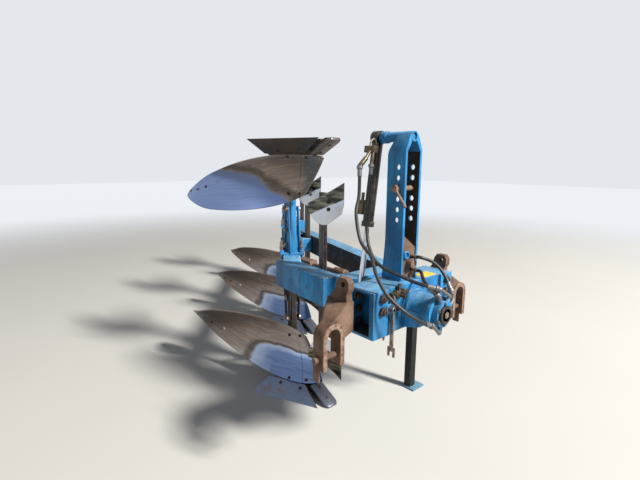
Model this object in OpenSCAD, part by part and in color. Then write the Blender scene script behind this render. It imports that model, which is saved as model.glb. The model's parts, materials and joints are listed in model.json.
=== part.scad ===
// Three-furrow mounted reversible moldboard plough, parked on its stand and its lower bodies.
// Z is up, the tractor side is -Y, the plough's left is +X, and all sizes are in millimetres.

/* [Turnover] */
// Height of the turnover axis over the ground
axis_z = 810; // [780:5:840]
// Radius of the turnover bearing tube
tube_r = 74; // [68:1:82]
// Radius of the turnover shaft
shaft_r = 45; // [38:1:55]
// Distance from the turnover axis to the crank's pin
crank_r = 110; // [100:1:120]

/* [Hitch] */
// Distance between the inner faces of the two lower hitch clevises
hitch_span = 890; // [860:5:920]
// Clear width inside one clevis
clevis_w = 75; // [65:1:85]
// Thickness of one clevis cheek
cheek_t = 24; // [18:1:30]
// Diameter of the lower link pins
link_pin_d = 28; // [25:0.5:32]
// Height of the lower link pins over the ground
link_pin_z = 672; // [650:1:700]
// Diameter of the top link holes
top_hole_d = 26; // [25:0.5:33]
// Height of the lowest top link hole
top_hole_z = 1220; // [1180:5:1260]
// Pitch of the top link holes
top_hole_pitch = 49; // [45:1:60]

/* [Tower] */
// Clear width between the tower's two plates
tower_gap = 94; // [85:1:110]
// Thickness of a tower plate
tower_t = 14; // [10:1:20]
// Height of the turnover cylinder's upper pivot over the ground
cyl_top_z = 1605; // [1560:5:1640]
// Depth of the tower's plates
tower_d = 104; // [90:1:120]

/* [Plough frame] */
// How far the plough frame is swung to the left
swing = 15; // [10:1:20]
// Distance from body to body along the furrow
body_pitch = 1045; // [1000:5:1090]
// Width of one furrow
furrow_w = 400; // [350:5:450]
// Height of the frame's beams
beam_h = 157; // [140:1:170]
// Width of the frame's beams
beam_w = 112; // [100:1:125]
// Wall of the frame's beams
beam_wall = 8; // [6:1:12]

/* [Bodies] */
// Thickness of a mouldboard
board_t = 8; // [6:1:10]
// Thickness of a share
share_t = 12; // [10:1:14]
// Length of a share along its cutting edge
share_len = 474; // [440:1:500]
// Slope of a share
share_slope = 45; // [40:1:50]

/* [Stand] */
// Side of the stand's square leg
leg_w = 50; // [40:1:60]
// Length of the stand's leg
leg_len = 720; // [650:5:780]

/* [Hidden] */
$fn = 48;

// The middle of the hitch and the ground under it, from the centre of the whole plough
shift_x = -460;
shift_y = -1659;

// Colours
blue = "#3f86bd";
rust = "#8a6142";
steel = "#9aa0a8";
dark = "#1d1f22";
chrome = "#d5d8dc";
yellow = "#e3bb2c";

// Cross box, open at both ends
box_x = 300;
box_y0 = -40;
box_y1 = 118;
box_z0 = 712;
box_z1 = 928;
box_wall = 12;
pad_w = 95;
pad_t = 14;
pad_bolt_z = [838, 897];
pad_bolt_r = 11;
pad_nut_r = 21;
pad_nut_h = 15;
bolt_hole_r = 10.5;
bolt_head_r = 18;
bolt_head_h = 14;

// Hitch clevises
clevis_x = (hitch_span + clevis_w) / 2;
clevis_y = 30;
clevis_d = 64;
clevis_r = clevis_w / 2 + cheek_t;
clevis_foot = 46;
arch_z = link_pin_z + 90;
tongue_t = 9;
arm_t = 34;
arm_h0 = 56;
arm_h1 = 80;
lug_x = box_x + 70;
flange_t = 28;
flange_w = 84;
flange_h = 192;
bolt_x = 232;
bolt_pitch = 62;
lug_z = 965;
lug_y = 50;
lug_hole_d = 26;
collar_r = 21;
collar_t = 12;
tower_stubs = [[17, -36, 1044], [22, -36, 978]];

// Gap left where one piece is seated on another
seat = 0.3;

// Tower
tower_x = tower_gap / 2 + tower_t / 2;
tower_y0 = -6;
pinned_hole = 3;
bend_z = cyl_top_z - 62;
pipe_r = 24;

// Turnover
tube_front = -185;
tube_back = 150;
yoke_front = 166;
ear_t = 24;
ear_gap = 52;
yoke_back = yoke_front + 2 * ear_t + ear_gap;
cyl_y = yoke_front + ear_t + ear_gap / 2;
shaft_clear = 0.05;
pad_gap = 0.75;
swivel_r = 60;
stub_turns = [-20, 35, 62, 190];
stub_reach = swivel_r + 12;

// Cylinder
barrel_r = 27;
rod_r = 14;
barrel_len = 415;
cyl_drop = cyl_top_z - axis_z;
cyl_lean = atan(crank_r / cyl_drop);
cyl_len = sqrt(crank_r * crank_r + cyl_drop * cyl_drop);
eye_w = 44;
pivot_pin_r = 16;
pin_shoulder = 20;
port_z = [-66, 66 - barrel_len];
hose_r = 8;

// First body: its share's front tip, measured from the middle of the hitch
tip_x = -87;
tip_y = 564;
bodies = [0, 1, 2];
leg_x = 20;
leg_y = 462;
leg_t = 36;
leg_foot_z = 300;
main_h = beam_h - 8;
frog_t = 18;
point_t = 22;
point_len = 180;
share_w = 121;
point_slope = 27;
share_turn = 129.6;
stalk_x = 20;
stalk_shift = [0, -32, -32];
clamp_t = 14;
clamp_w = 150;
clamp_bolt_x = 66;
clamp_bolt_y = 52;
clamp_nut_h = 14;
cheek_leg_t = 12;
landside_t = 18;
landside_h = 112;
landside_len = 480;
landside_y = 210;
leg_top = axis_z - main_h / 2 - clamp_t - 2 * seat;

// Stand
stand_x = 555;
stand_y = 364;
sleeve_w = leg_w + 17;
sleeve_z0 = 520;
sleeve_z1 = 770;
stand_pin_z = 640;
stand_travel = 200;

function bezier(p, s) =
    pow(1 - s, 3) * p[0] + 3 * s * pow(1 - s, 2) * p[1]
    + 3 * s * s * (1 - s) * p[2] + pow(s, 3) * p[3];
function unit(v) = v / norm(v);

// A mouldboard's upper and lower edges, from the landside to the tail
board_top = [[75, 335, 325], [-30, 400, 440], [-418, 728, 492], [-590, 905, 415]];
board_bottom = [[85, 105, 108], [-150, 140, 66], [-320, 740, 96], [-560, 1160, 340]];
shin_end = 0.17;
tail_start = 0.78;
hollow = 58;
board_rows = 20;
function board_s(i) = shin_end + 0.001 + (1 - shin_end - 0.001) * i / board_rows;
function hollow_at(s) = hollow * (0.25 + 0.75 * sin(180 * min(1, s * 1.1)));
function tail_half(s) =
    s < tail_start ? 0.5
    : max(0.03, 0.5 * sqrt(1 - pow((s - tail_start) / (1 - tail_start) * 0.998, 2)));
function board_point(s, t) =
    let (
        q = 0.5 + (t - 0.5) * 2 * tail_half(s),
        low = bezier(board_bottom, s),
        high = bezier(board_top, s)
    )
    low + (high - low) * q + 4 * q * (1 - q) * hollow_at(s) * unit([0.8, 0.55, -0.15]);
function board_normal(s, t) =
    let (
        e = 0.002,
        s0 = max(0, s - e),
        s1 = min(0.97, s + e),
        t0 = max(0, t - e),
        t1 = min(1, t + e),
        ds = board_point(s1 > s0 ? s1 : s0 + e, t) - board_point(s0 < s1 ? s0 : s1 - e, t),
        dt = board_point(s, t1) - board_point(s, t0)
    )
    unit(cross(dt, ds));

// A bent sheet between two places along the board, as one closed shell
module sheet(s_from, s_to, n_along, n_up, thick) {
    along = [for (i = [0:n_along]) s_from + (s_to - s_from) * i / n_along];
    up = [for (j = [0:n_up]) j / n_up];
    face = [for (s = along) for (t = up) board_point(s, t)];
    back = [for (s = along) for (t = up)
        board_point(s, t) - thick * board_normal(min(s, 0.96), t)];
    w = n_up + 1;
    n = (n_along + 1) * w;
    quads = concat(
        [for (i = [0:n_along - 1]) for (j = [0:n_up - 1])
            [i * w + j, i * w + j + 1, (i + 1) * w + j + 1, (i + 1) * w + j]],
        [for (i = [0:n_along - 1]) for (j = [0:n_up - 1])
            [n + i * w + j, n + (i + 1) * w + j, n + (i + 1) * w + j + 1, n + i * w + j + 1]],
        [for (i = [0:n_along - 1]) [i * w, (i + 1) * w, n + (i + 1) * w, n + i * w]],
        [for (i = [0:n_along - 1])
            [(i + 1) * w + n_up, i * w + n_up, n + i * w + n_up, n + (i + 1) * w + n_up]],
        [for (j = [0:n_up - 1]) [j + 1, j, n + j, n + j + 1]],
        [for (j = [0:n_up - 1])
            [n_along * w + j, n_along * w + j + 1, n + n_along * w + j + 1, n + n_along * w + j]]
    );
    tris = [for (q = quads) for (k = [1, 2]) [q[0], q[k], q[k + 1]]];
    polyhedron(points = concat(face, back), faces = tris, convexity = 4);
}

// Places
module placed() {
    translate([shift_x, shift_y, 0]) children();
}

// From the share's tip of one body, with Y along the furrow; the upper side is the mirror image
module at_body(k, upper) {
    placed() translate([tip_x, tip_y, upper ? 2 * axis_z : 0]) rotate([0, 0, -swing])
        translate([furrow_w * k, body_pitch * k, 0]) mirror([0, 0, upper ? 1 : 0]) children();
}

module each_body(upper) {
    for (k = bodies) at_body(k, upper) children();
}

module along_y(x, y, z, r, len) {
    translate([x, y, z]) rotate([-90, 0, 0]) cylinder(r = r, h = len);
}

module along_x(x, y, z, r, len) {
    translate([x, y, z]) rotate([0, 90, 0]) cylinder(r = r, h = len);
}

// A square tube lying along Y, centred on its own axis
module box_tube(w, h, wall, len) {
    difference() {
        translate([-w / 2, 0, -h / 2]) cube([w, len, h]);
        translate([-w / 2 + wall, wall, -h / 2 + wall])
            cube([w - 2 * wall, len - 2 * wall, h - 2 * wall]);
    }
}

// Headstock
module cross_box() {
    color(blue) placed() difference() {
        union() {
            translate([-box_x, box_y0, box_z0]) cube([2 * box_x, box_y1 - box_y0, box_z1 - box_z0]);
            for (side = [-1, 1]) translate([side * (box_x - pad_w / 2) - pad_w / 2, box_y0 - pad_t, box_z0])
                cube([pad_w, pad_t + 1, box_z1 - box_z0]);
        }
        translate([-box_x - 1, box_y0 + box_wall, box_z0 + box_wall])
            cube([2 * box_x + 2, box_y1 - box_y0 - 2 * box_wall, box_z1 - box_z0 - 2 * box_wall]);
        along_y(0, box_y0 - 60, axis_z, tube_r, 300);
        for (side = [-1, 1]) for (i = [-1:1])
            along_y(side * bolt_x, box_y1 - 30, axis_z + i * bolt_pitch, bolt_hole_r, 60);
    }
}

// Heavy bolts through the pads on the box's front face
module pad_bolts() {
    color(rust) placed() for (side = [-1, 1]) for (z = pad_bolt_z)
        translate([side * (box_x - pad_w / 2 - 6), box_y0 - pad_t - seat, z]) {
            rotate([90, 0, 0]) cylinder(r = pad_nut_r, h = pad_nut_h, $fn = 6);
            rotate([90, 0, 0]) cylinder(r = pad_bolt_r, h = pad_nut_h + 9);
        }
}

// The plates are bent in at the top to meet the pipe that carries the cylinder's pivot
module tower() {
    half = tower_gap / 2;
    pipe_end = cyl_y - barrel_r - 6;
    foot_y = tower_y0 + tower_d + 14;
    back_y = tower_y0 + tower_d;
    color(blue) placed() {
        difference() {
            intersection() {
                translate([0, foot_y, 0]) rotate([90, 0, 0]) linear_extrude(foot_y - tower_y0)
                    for (side = [0, 1]) mirror([side, 0]) polygon([
                        [half, box_z1 + seat], [half + tower_t, box_z1 + seat], [half + tower_t, bend_z],
                        [pipe_r + 3, cyl_top_z + 10], [pipe_r - 8, cyl_top_z + 4],
                        [pipe_r - 10, cyl_top_z - 16], [half, bend_z - 6]
                    ]);
                translate([-200, 0, 0]) rotate([90, 0, 90]) linear_extrude(400) polygon([
                    [tower_y0, box_z1 + seat], [tower_y0, cyl_top_z + pipe_r],
                    [back_y - 30, cyl_top_z + pipe_r], [back_y, bend_z - 20],
                    [back_y, box_z1 + 190], [foot_y, box_z1 + seat]
                ]);
            }
            for (i = [0:5]) along_x(-tower_x - tower_t, tower_y0 + 42, top_hole_z + i * top_hole_pitch,
                top_hole_d / 2, 2 * tower_x + 2 * tower_t);
        }
        difference() {
            along_y(0, tower_y0, cyl_top_z, pipe_r, pipe_end - tower_y0);
            along_y(0, tower_y0 - 1, cyl_top_z, pipe_r - 7, 9);
        }
        along_y(0, pipe_end - 34, cyl_top_z, pipe_r + 5, 34);
        along_y(0, pipe_end - 1, cyl_top_z, pin_shoulder, cyl_y - eye_w / 2 - pipe_end);
        along_y(0, pipe_end, cyl_top_z, pivot_pin_r, cyl_y + eye_w / 2 + 16 - pipe_end);
        along_y(0, cyl_y + eye_w / 2 + 1, cyl_top_z, 22, 8);
    }
}

module bearing_tube() {
    color(blue) placed() difference() {
        union() {
            along_y(0, tube_front, axis_z, tube_r - 0.02, tube_back - tube_front);
            along_y(0, tube_front, axis_z, tube_r + 6, 20);
            along_y(0, tube_front + 30, axis_z, tube_r + 3, 10);
            along_y(0, box_y0 - seat - 26, axis_z, tube_r + 12, 26);
            translate([-tube_r - 4, 0, 0]) rotate([90, 0, 90]) linear_extrude(2 * tube_r + 8) polygon([
                [box_y0 - seat, box_z0 + 6], [box_y0 - seat, axis_z],
                [tube_front + 50, axis_z], [tube_front + 50, axis_z - tube_r + 8]
            ]);
        }
        along_y(0, tube_front - 1, axis_z, shaft_r + shaft_clear, tube_back - tube_front + 2);
    }
}

module swivel() {
    color(dark) placed() {
        along_y(0, tube_front - 28, axis_z, swivel_r, 28 - seat);
        along_y(0, tube_front - 40, axis_z, 40, 12);
        for (a = stub_turns) translate([0, tube_front - 16, axis_z]) rotate([0, a, 0])
            cylinder(r = 11, h = stub_reach);
    }
}

// One forged arm on the +X side, bolted behind the cross box, with its lug and horseshoe clevis
module hitch_arm() {
    y0 = box_y1 + seat;
    y1 = y0 + flange_t;
    difference() {
        union() {
            translate([clevis_x, clevis_y + clevis_d / 2, 0]) rotate([90, 0, 0]) linear_extrude(clevis_d) {
                translate([0, arch_z]) circle(r = clevis_r);
                translate([-clevis_r, link_pin_z - clevis_foot])
                    square([2 * clevis_r, arch_z - link_pin_z + clevis_foot]);
            }
            translate([clevis_x + clevis_r - tongue_t, clevis_y - 4, link_pin_z - clevis_foot - 58])
                cube([tongue_t, 36, 70]);
            hull() {
                translate([lug_x - arm_t / 2, clevis_y - 14, axis_z - arm_h0])
                    cube([arm_t, y1 - clevis_y + 14, arm_h0 + arm_h1]);
                translate([clevis_x, clevis_y + 26, arch_z + 8]) rotate([90, 0, 0])
                    cylinder(r = clevis_r - 12, h = 52);
            }
            hull() {
                translate([bolt_x - flange_w / 2, y0, axis_z - flange_h / 2])
                    cube([flange_w, flange_t, flange_h]);
                translate([lug_x - arm_t / 2, y0, axis_z - arm_h0])
                    cube([arm_t, flange_t, arm_h0 + arm_h1]);
            }
            translate([lug_x - arm_t / 2, 0, 0]) rotate([90, 0, 90]) linear_extrude(arm_t) polygon([
                [y1, axis_z], [y1, axis_z + 66], [lug_y + 52, axis_z + 120], [lug_y + 40, lug_z + 8],
                [lug_y + 26, lug_z + 28], [lug_y - 20, lug_z + 28], [lug_y - 34, lug_z + 10],
                [lug_y - 34, lug_z - 24], [lug_y - 22, lug_z - 44], [clevis_y - 14, axis_z]
            ]);
        }
        translate([clevis_x, clevis_y + 90, 0]) rotate([90, 0, 0]) linear_extrude(180) {
            translate([0, arch_z]) circle(r = clevis_w / 2);
            translate([-clevis_w / 2, link_pin_z - clevis_foot - 14])
                square([clevis_w, arch_z - link_pin_z + clevis_foot + 14]);
        }
        along_x(clevis_x - 100, clevis_y, link_pin_z, link_pin_d / 2 + 0.5, 200);
        along_x(lug_x - 60, lug_y, lug_z, lug_hole_d / 2, 120);
        for (i = [-1:1]) along_y(bolt_x, box_y1 - 30, axis_z + i * bolt_pitch, bolt_hole_r, 90);
        for (side = [-1, 1]) translate([lug_x + side * arm_t / 2 - 5, clevis_y + 24, axis_z - 30])
            cube([10, 60, 96]);
    }
}

module arm_bolts() {
    color(dark) placed() for (side = [-1, 1]) for (i = [-1:1])
        translate([side * bolt_x, 0, axis_z + i * bolt_pitch]) {
            along_y(0, box_y1 - box_wall - bolt_head_h - 1, 0, bolt_hole_r - 0.5,
                flange_t + box_wall + 2 * bolt_head_h + 4);
            for (y = [box_y1 - box_wall - seat - bolt_head_h, box_y1 + flange_t + 2 * seat])
                translate([0, y, 0]) rotate([-90, 0, 0])
                    cylinder(r = bolt_head_r, h = bolt_head_h, $fn = 6);
        }
}

module hitch_arm_left() {
    color(rust) placed() hitch_arm();
}

module hitch_arm_right() {
    color(rust) placed() mirror([1, 0, 0]) hitch_arm();
}

module link_pins() {
    color(rust) placed() for (side = [-1, 1]) mirror([side < 0 ? 1 : 0, 0, 0]) {
        start = clevis_x - clevis_r - collar_t;
        along_x(start, clevis_y, link_pin_z, link_pin_d / 2, 2 * clevis_r + 3 * collar_t);
        along_x(start, clevis_y, link_pin_z, collar_r, collar_t);
    }
}

module top_link_pin() {
    z = top_hole_z + pinned_hole * top_hole_pitch;
    color(rust) placed() {
        along_x(-tower_x - 24, tower_y0 + 42, z, top_hole_d / 2 - 0.4, 2 * tower_x + 44);
        translate([-tower_x - 22, tower_y0 + 42, z]) rotate([-38, 0, 0])
            translate([0, 0, -105]) cylinder(r = 6, h = 100);
        along_x(-tower_x - 32, tower_y0 + 42, z, 17, 24);
    }
}

// A plate between the tower's feet, higher at the right, with a boss and two hose stubs
module tower_foot_boss() {
    half = tower_gap / 2 - seat;
    color(rust) placed() {
        translate([0, tower_y0 + 22, 0]) rotate([90, 0, 0]) linear_extrude(16) polygon([
            [-half, box_z1 + seat], [half, box_z1 + seat], [half, box_z1 + 156], [-half, box_z1 + 222]
        ]);
        along_y(0, tower_y0 - 26, box_z1 + 84, 22, 34);
        for (stub = tower_stubs) translate(stub) rotate([-90, 0, 0]) cylinder(r = 10, h = 46);
    }
}

module caution_label() {
    color(yellow) placed() translate([96, box_y0 + 12, box_z1]) cube([104, 66, 1.5]);
}

// A flat bar with an open jaw, hung on a stub at the cross box's flange
module bar_spanner() {
    bar_x = -178;
    bar_y = box_y0 - 16;
    color(steel) placed() {
        translate([bar_x, bar_y - 9, 640]) cube([8, 18, 256]);
        translate([bar_x, bar_y - 20, 604]) difference() {
            cube([8, 40, 44]);
            translate([-1, 10, -1]) cube([10, 20, 26]);
        }
        along_y(bar_x + 4, bar_y - 14, 880, 6, box_y0 - seat - bar_y + 14);
    }
}

// Stand
module stand_sleeve() {
    y0 = box_y1 + flange_t + 22;
    z0 = box_z0 - 40;
    color(blue) placed() difference() {
        union() {
            translate([100, box_y1 + seat, z0 + 30])
                cube([bolt_x - flange_w / 2 - seat - 100, 14, 80]);
            translate([bolt_x - 96, box_y1 + seat, z0]) cube([50, y0 + 50 - box_y1 - seat, 56]);
            translate([bolt_x - 96, y0, z0]) cube([stand_x + sleeve_w / 2 - bolt_x + 96, 50, 56]);
            translate([stand_x - sleeve_w / 2, y0, z0]) cube([sleeve_w, stand_y - y0, 56]);
            translate([stand_x - sleeve_w / 2, stand_y - sleeve_w / 2, sleeve_z0])
                cube([sleeve_w, sleeve_w, sleeve_z1 - sleeve_z0]);
        }
        translate([stand_x - leg_w / 2 - 0.5, stand_y - leg_w / 2 - 0.5, sleeve_z0 - 1])
            cube([leg_w + 1, leg_w + 1, sleeve_z1 - sleeve_z0 + 2]);
        along_x(stand_x - 60, stand_y, stand_pin_z, 8.5, 120);
    }
}

// The leg's slot stands for its row of pin holes, so that the pin stays clear while it slides
module stand_leg() {
    color(blue) placed() {
        difference() {
            translate([stand_x - leg_w / 2, stand_y - leg_w / 2, 10]) cube([leg_w, leg_w, leg_len]);
            for (z = [stand_pin_z - stand_travel, stand_pin_z]) along_x(stand_x - 60, stand_y, z, 9.5, 120);
            translate([stand_x - 60, stand_y - 9.5, stand_pin_z - stand_travel])
                cube([120, 19, stand_travel]);
        }
        translate([stand_x - 35, stand_y - 60, 0]) cube([115, 95, 12]);
    }
}

module stand_pin() {
    color(steel) placed() {
        along_x(stand_x - sleeve_w / 2 - 12, stand_y, stand_pin_z, 8, sleeve_w + 30);
        along_x(stand_x - sleeve_w / 2 - 20, stand_y, stand_pin_z, 14, 10);
    }
}

// The turnover cylinder, built hanging straight down from its upper pivot, then leaned to the crank
module leaned() {
    placed() translate([0, cyl_y, cyl_top_z]) rotate([0, cyl_lean, 0]) children();
}

module cylinder_barrel() {
    color(dark) leaned() difference() {
        union() {
            rotate([90, 0, 0]) cylinder(r = 34, h = eye_w, center = true);
            translate([0, 0, -barrel_len]) cylinder(r = barrel_r, h = barrel_len - 26);
            for (z = port_z) translate([-barrel_r - 20, 0, z]) rotate([0, 90, 0]) cylinder(r = 11, h = 28);
        }
        rotate([90, 0, 0]) cylinder(r = pivot_pin_r + shaft_clear, h = 2 * eye_w, center = true);
        translate([0, 0, -barrel_len - 1]) cylinder(r = rod_r + 6, h = barrel_len - 60);
    }
}

module cylinder_gland() {
    color(dark) leaned() difference() {
        translate([0, 0, -barrel_len - 26]) cylinder(r = barrel_r + 5, h = 26);
        translate([0, 0, -barrel_len - 30]) cylinder(r = rod_r + shaft_clear, h = 40);
    }
}

module cylinder_rod() {
    color(chrome) leaned() {
        translate([0, 0, -cyl_len + 20]) cylinder(r = rod_r, h = cyl_len - barrel_len + 130);
        translate([0, 0, -barrel_len + 90]) cylinder(r = rod_r + 5.9, h = 40);
    }
    color(dark) leaned() translate([0, 0, -cyl_len]) rotate([90, 0, 0])
        cylinder(r = 30, h = eye_w, center = true);
}

// Port blocks on the barrel: a tee with two hose ends above, and a locking valve below
module cylinder_ports() {
    color(steel) leaned() {
        translate([-barrel_r - 48, -50, port_z[0] - 16]) cube([28 - seat, 64, 32]);
        translate([-barrel_r - 44, -17, port_z[1] - 34]) cube([24 - seat, 34, 72]);
        translate([-barrel_r - 32, 0, port_z[1] + 30]) cylinder(r = 8, h = 44);
    }
    color(steel) placed() {
        hose_start(hose_long, [-112, 190, 1506], 12);
        bar([-81, 190, 1545], [-112, 190, 1506], 8);
        hose_start(hose_short, [-80, 175, 1533], 9);
    }
}

// A fitting from a place to a hose's first ring
module hose_start(places, from, r) {
    line = route(places, 2);
    d = unit(line[1] - line[0]);
    knee = line[0] - 14 * d;
    bar(line[0] - seat * d, knee, 9);
    translate(knee) sphere(r = 9.2, $fn = 24);
    bar(from, knee, r);
}

// Hoses, each along its own route from fitting to fitting
hose_long = [[-153, 190, 1455], [-170, 175, 1330], [-204, 158, 1250], [-221, 110, 1130],
    [-232, 30, 1068], [-265, -30, 1007], [-272, -100, 932], [-235, -165, 868], [-175, -202, 820],
    [-105, -213, 785]];
hose_short = [[-90, 175, 1462], [-97, 172, 1400], [-112, 172, 1260], [-122, 164, 1170],
    [-150, 115, 1080], [-148, 50, 1012], [-122, -50, 978], [-104, -110, 961], [-98, -165, 955],
    [-68, -203, 945]];
hose_far = [[17, -37, 1044], [21, -58, 1044], [66, -86, 1024], [94, -116, 990], [96, -150, 950],
    [88, -182, 905]];
hose_near = [[22, -37, 978], [20, -60, 976], [-14, -96, 962], [-52, -142, 948], [-64, -176, 932],
    [-54, -194, 917]];
function spline(a, b, c, d, t) =
    0.5 * (2 * b + t * (c - a) + t * t * (2 * a - 5 * b + 4 * c - d) + t * t * t * (3 * b - a - 3 * c + d));
function route(p, steps) = concat([for (i = [0:len(p) - 2]) for (j = [0:steps - 1])
    spline(p[max(0, i - 1)], p[i], p[i + 1], p[min(len(p) - 1, i + 2)], j / steps)], [p[len(p) - 1]]);

// A round hose along a list of places, as one closed shell
module hose(places, steps) {
    line = route(places, steps);
    n = len(line);
    sides = 10;
    across = unit(cross(places[len(places) - 1] - places[0], places[floor(len(places) / 2)] - places[0]));
    rings = [for (i = [0:n - 1]) let (
            ahead = unit(line[min(n - 1, i + 1)] - line[max(0, i - 1)]),
            u = unit(across - (across * ahead) * ahead),
            v = cross(ahead, u)
        ) for (k = [0:sides - 1]) line[i] + hose_r * (cos(360 * k / sides) * u + sin(360 * k / sides) * v)];
    walls = [for (i = [0:n - 2]) for (k = [0:sides - 1]) let (j = (k + 1) % sides)
        each [[i * sides + k, (i + 1) * sides + k, (i + 1) * sides + j],
            [i * sides + k, (i + 1) * sides + j, i * sides + j]]];
    ends = [for (k = [1:sides - 2])
        each [[0, k, k + 1], [(n - 1) * sides, (n - 1) * sides + k + 1, (n - 1) * sides + k]]];
    polyhedron(points = rings, faces = concat(walls, ends), convexity = 6);
}

module cylinder_hoses() {
    color(dark) placed() {
        hose(hose_long, 2);
        hose(hose_short, 2);
    }
}

module tractor_hoses() {
    color(dark) placed() {
        hose(hose_far, 2);
        hose(hose_near, 2);
    }
}

// The fittings between the hoses' ends and the swivel's stubs
function stub_at(i, reach) =
    [sin(stub_turns[i]) * reach, tube_front - 16, axis_z + cos(stub_turns[i]) * reach];

module fitting(places, i) {
    line = route(places, 2);
    n = len(line);
    d = unit(line[n - 1] - line[n - 2]);
    knee = line[n - 1] + 22 * d;
    elbow = stub_at(i, stub_reach + 18);
    bar(line[n - 1] + seat * d, knee, 11);
    translate(knee) sphere(r = 10, $fn = 24);
    bar(knee, elbow, 8.5);
    translate(elbow) sphere(r = 10, $fn = 24);
    bar(stub_at(i, stub_reach + seat), elbow, 11);
}

module hose_fittings() {
    color(steel) placed() {
        fitting(hose_near, 0);
        fitting(hose_short, 1);
        fitting(hose_far, 2);
        fitting(hose_long, 3);
    }
}

// Turning frame
module turnover_shaft() {
    color(steel) placed() along_y(0, tube_front + 4, axis_z, shaft_r, yoke_front - seat - tube_front - 4);
}

module yoke_ear() {
    linear_extrude(ear_t) difference() {
        union() {
            hull() {
                circle(r = 72);
                translate([-crank_r, 0]) circle(r = 36);
            }
            translate([0, -62]) square([118, 124]);
        }
        translate([-crank_r, 0]) circle(r = 16);
    }
}

module crank_yoke() {
    color(blue) placed() translate([0, 0, axis_z]) {
        for (y = [yoke_front, yoke_front + ear_t + ear_gap])
            translate([0, y + ear_t, 0]) rotate([90, 0, 0]) yoke_ear();
        translate([72, yoke_front, -62]) cube([46, yoke_back - yoke_front, 124]);
    }
}

head_y0 = yoke_back + seat;
head_y1 = head_y0 + 112;
brace_x = 312;
brace_turn = 17.5;
brace_w = beam_w - 12;
landside_x = -155;
landside_turn = 5;
landside_y0 = 372;
landside_beam_len = 500;
brace_len = 1600;
main_turn = atan(furrow_w / body_pitch) + swing;
leg_gap = norm([furrow_w, body_pitch]);
main_front = 267;

// Along the main beam from the first leg, with Y along the beam
module at_main() {
    placed() translate([tip_x, tip_y, axis_z]) rotate([0, 0, -swing]) translate([leg_x, leg_y, 0])
        rotate([0, 0, swing - main_turn]) children();
}

module at_landside() {
    placed() translate([landside_x, landside_y0, axis_z]) rotate([0, 0, -landside_turn]) children();
}

module at_brace() {
    placed() translate([brace_x, head_y1 + brace_w / 2 * sin(brace_turn) + seat, axis_z])
        rotate([0, 0, -brace_turn]) children();
}

// The room that the main beam and what lies behind its left face takes from a joining beam
module main_room() {
    at_main() translate([-beam_w / 2 - seat, -main_front - seat, -200]) cube([700, 4000, 400]);
}

module head_beam() {
    color(blue) {
        placed() translate([0, 0, axis_z]) difference() {
            translate([-98, head_y0, -beam_h / 2]) cube([brace_x + 98 + 50, head_y1 - head_y0, beam_h]);
            translate([-98 + beam_wall, head_y0 + beam_wall, -beam_h / 2 + beam_wall]) cube([
                brace_x + 148 - 2 * beam_wall, head_y1 - head_y0 - 2 * beam_wall, beam_h - 2 * beam_wall]);
        }
        difference() {
            at_landside() for (z = [-60, 46]) translate([0, 0, z]) linear_extrude(14)
                polygon([[beam_w / 2 + seat, -20], [beam_w / 2 + seat, 150], [170, 12], [170, -20]]);
            placed() translate([-400, head_y0 - 300, axis_z - 200]) cube([1200, 300 + 100, 400]);
        }
    }
}

module landside_beam() {
    color(blue) difference() {
        at_landside() {
            box_tube(beam_w, beam_h, beam_wall, landside_beam_len);
            translate([-beam_w / 2 - 5, 232, -beam_h / 2 - 5]) cube([5, 12, beam_h + 10]);
        }
        main_room();
    }
}

module main_beam() {
    color(blue) at_main() translate([0, -main_front, 0])
        box_tube(beam_w, main_h, beam_wall, 2 * leg_gap + main_front + 130);
}

module brace_beam() {
    color(blue) difference() {
        union() {
            at_brace() box_tube(brace_w, beam_h - 10, beam_wall, brace_len);
            at_main() for (z = [-64, 50]) translate([0, 0, z]) linear_extrude(14)
                polygon([[beam_w / 2 - 20, 850], [beam_w / 2 - 20, leg_gap - 80],
                    [beam_w / 2 + 60, leg_gap - 80], [beam_w / 2 + 86, 850]]);
        }
        at_main() translate([-400 + beam_w / 2 + seat, -100, -200]) cube([400, 3000, 400]);
        at_main() translate([-100, leg_gap - 80, -200]) cube([800, 900, 400]);
    }
}

module adjusting_spindle() {
    x = 40;
    color(rust) difference() {
        placed() {
            along_y(x, head_y1 + seat, axis_z + 40, 14, 460);
            along_y(x, head_y1 + 90, axis_z + 40, 26, 90);
            along_y(x, head_y1 + seat, axis_z + 40, 24, 18);
            translate([x - 30, head_y1 + 380, axis_z + 14]) cube([60, 130, 52]);
        }
        at_main() translate([-700 + beam_w / 2 + seat, -400, -200]) cube([700, 2000, 400]);
    }
}

// Bodies
module leg_clamp() {
    z1 = main_h / 2 + seat + clamp_t;
    for (up = [0, 1]) mirror([0, 0, up]) translate([-clamp_w / 2, -clamp_w / 2, main_h / 2 + seat])
        cube([clamp_w, clamp_w, clamp_t]);
    for (x = [-1, 1]) for (y = [-1, 1])
        translate([x * clamp_bolt_x, y * clamp_bolt_y, -z1 - clamp_nut_h]) {
            cylinder(r = 8, h = 2 * (z1 + clamp_nut_h));
            for (z = [0, 2 * z1 + clamp_nut_h]) translate([0, 0, z])
                cylinder(r = 15, h = clamp_nut_h, $fn = 6);
        }
}

module leg_clamps() {
    color(blue) for (k = bodies) at_main() translate([0, leg_gap * k, 0]) leg_clamp();
}

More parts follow.
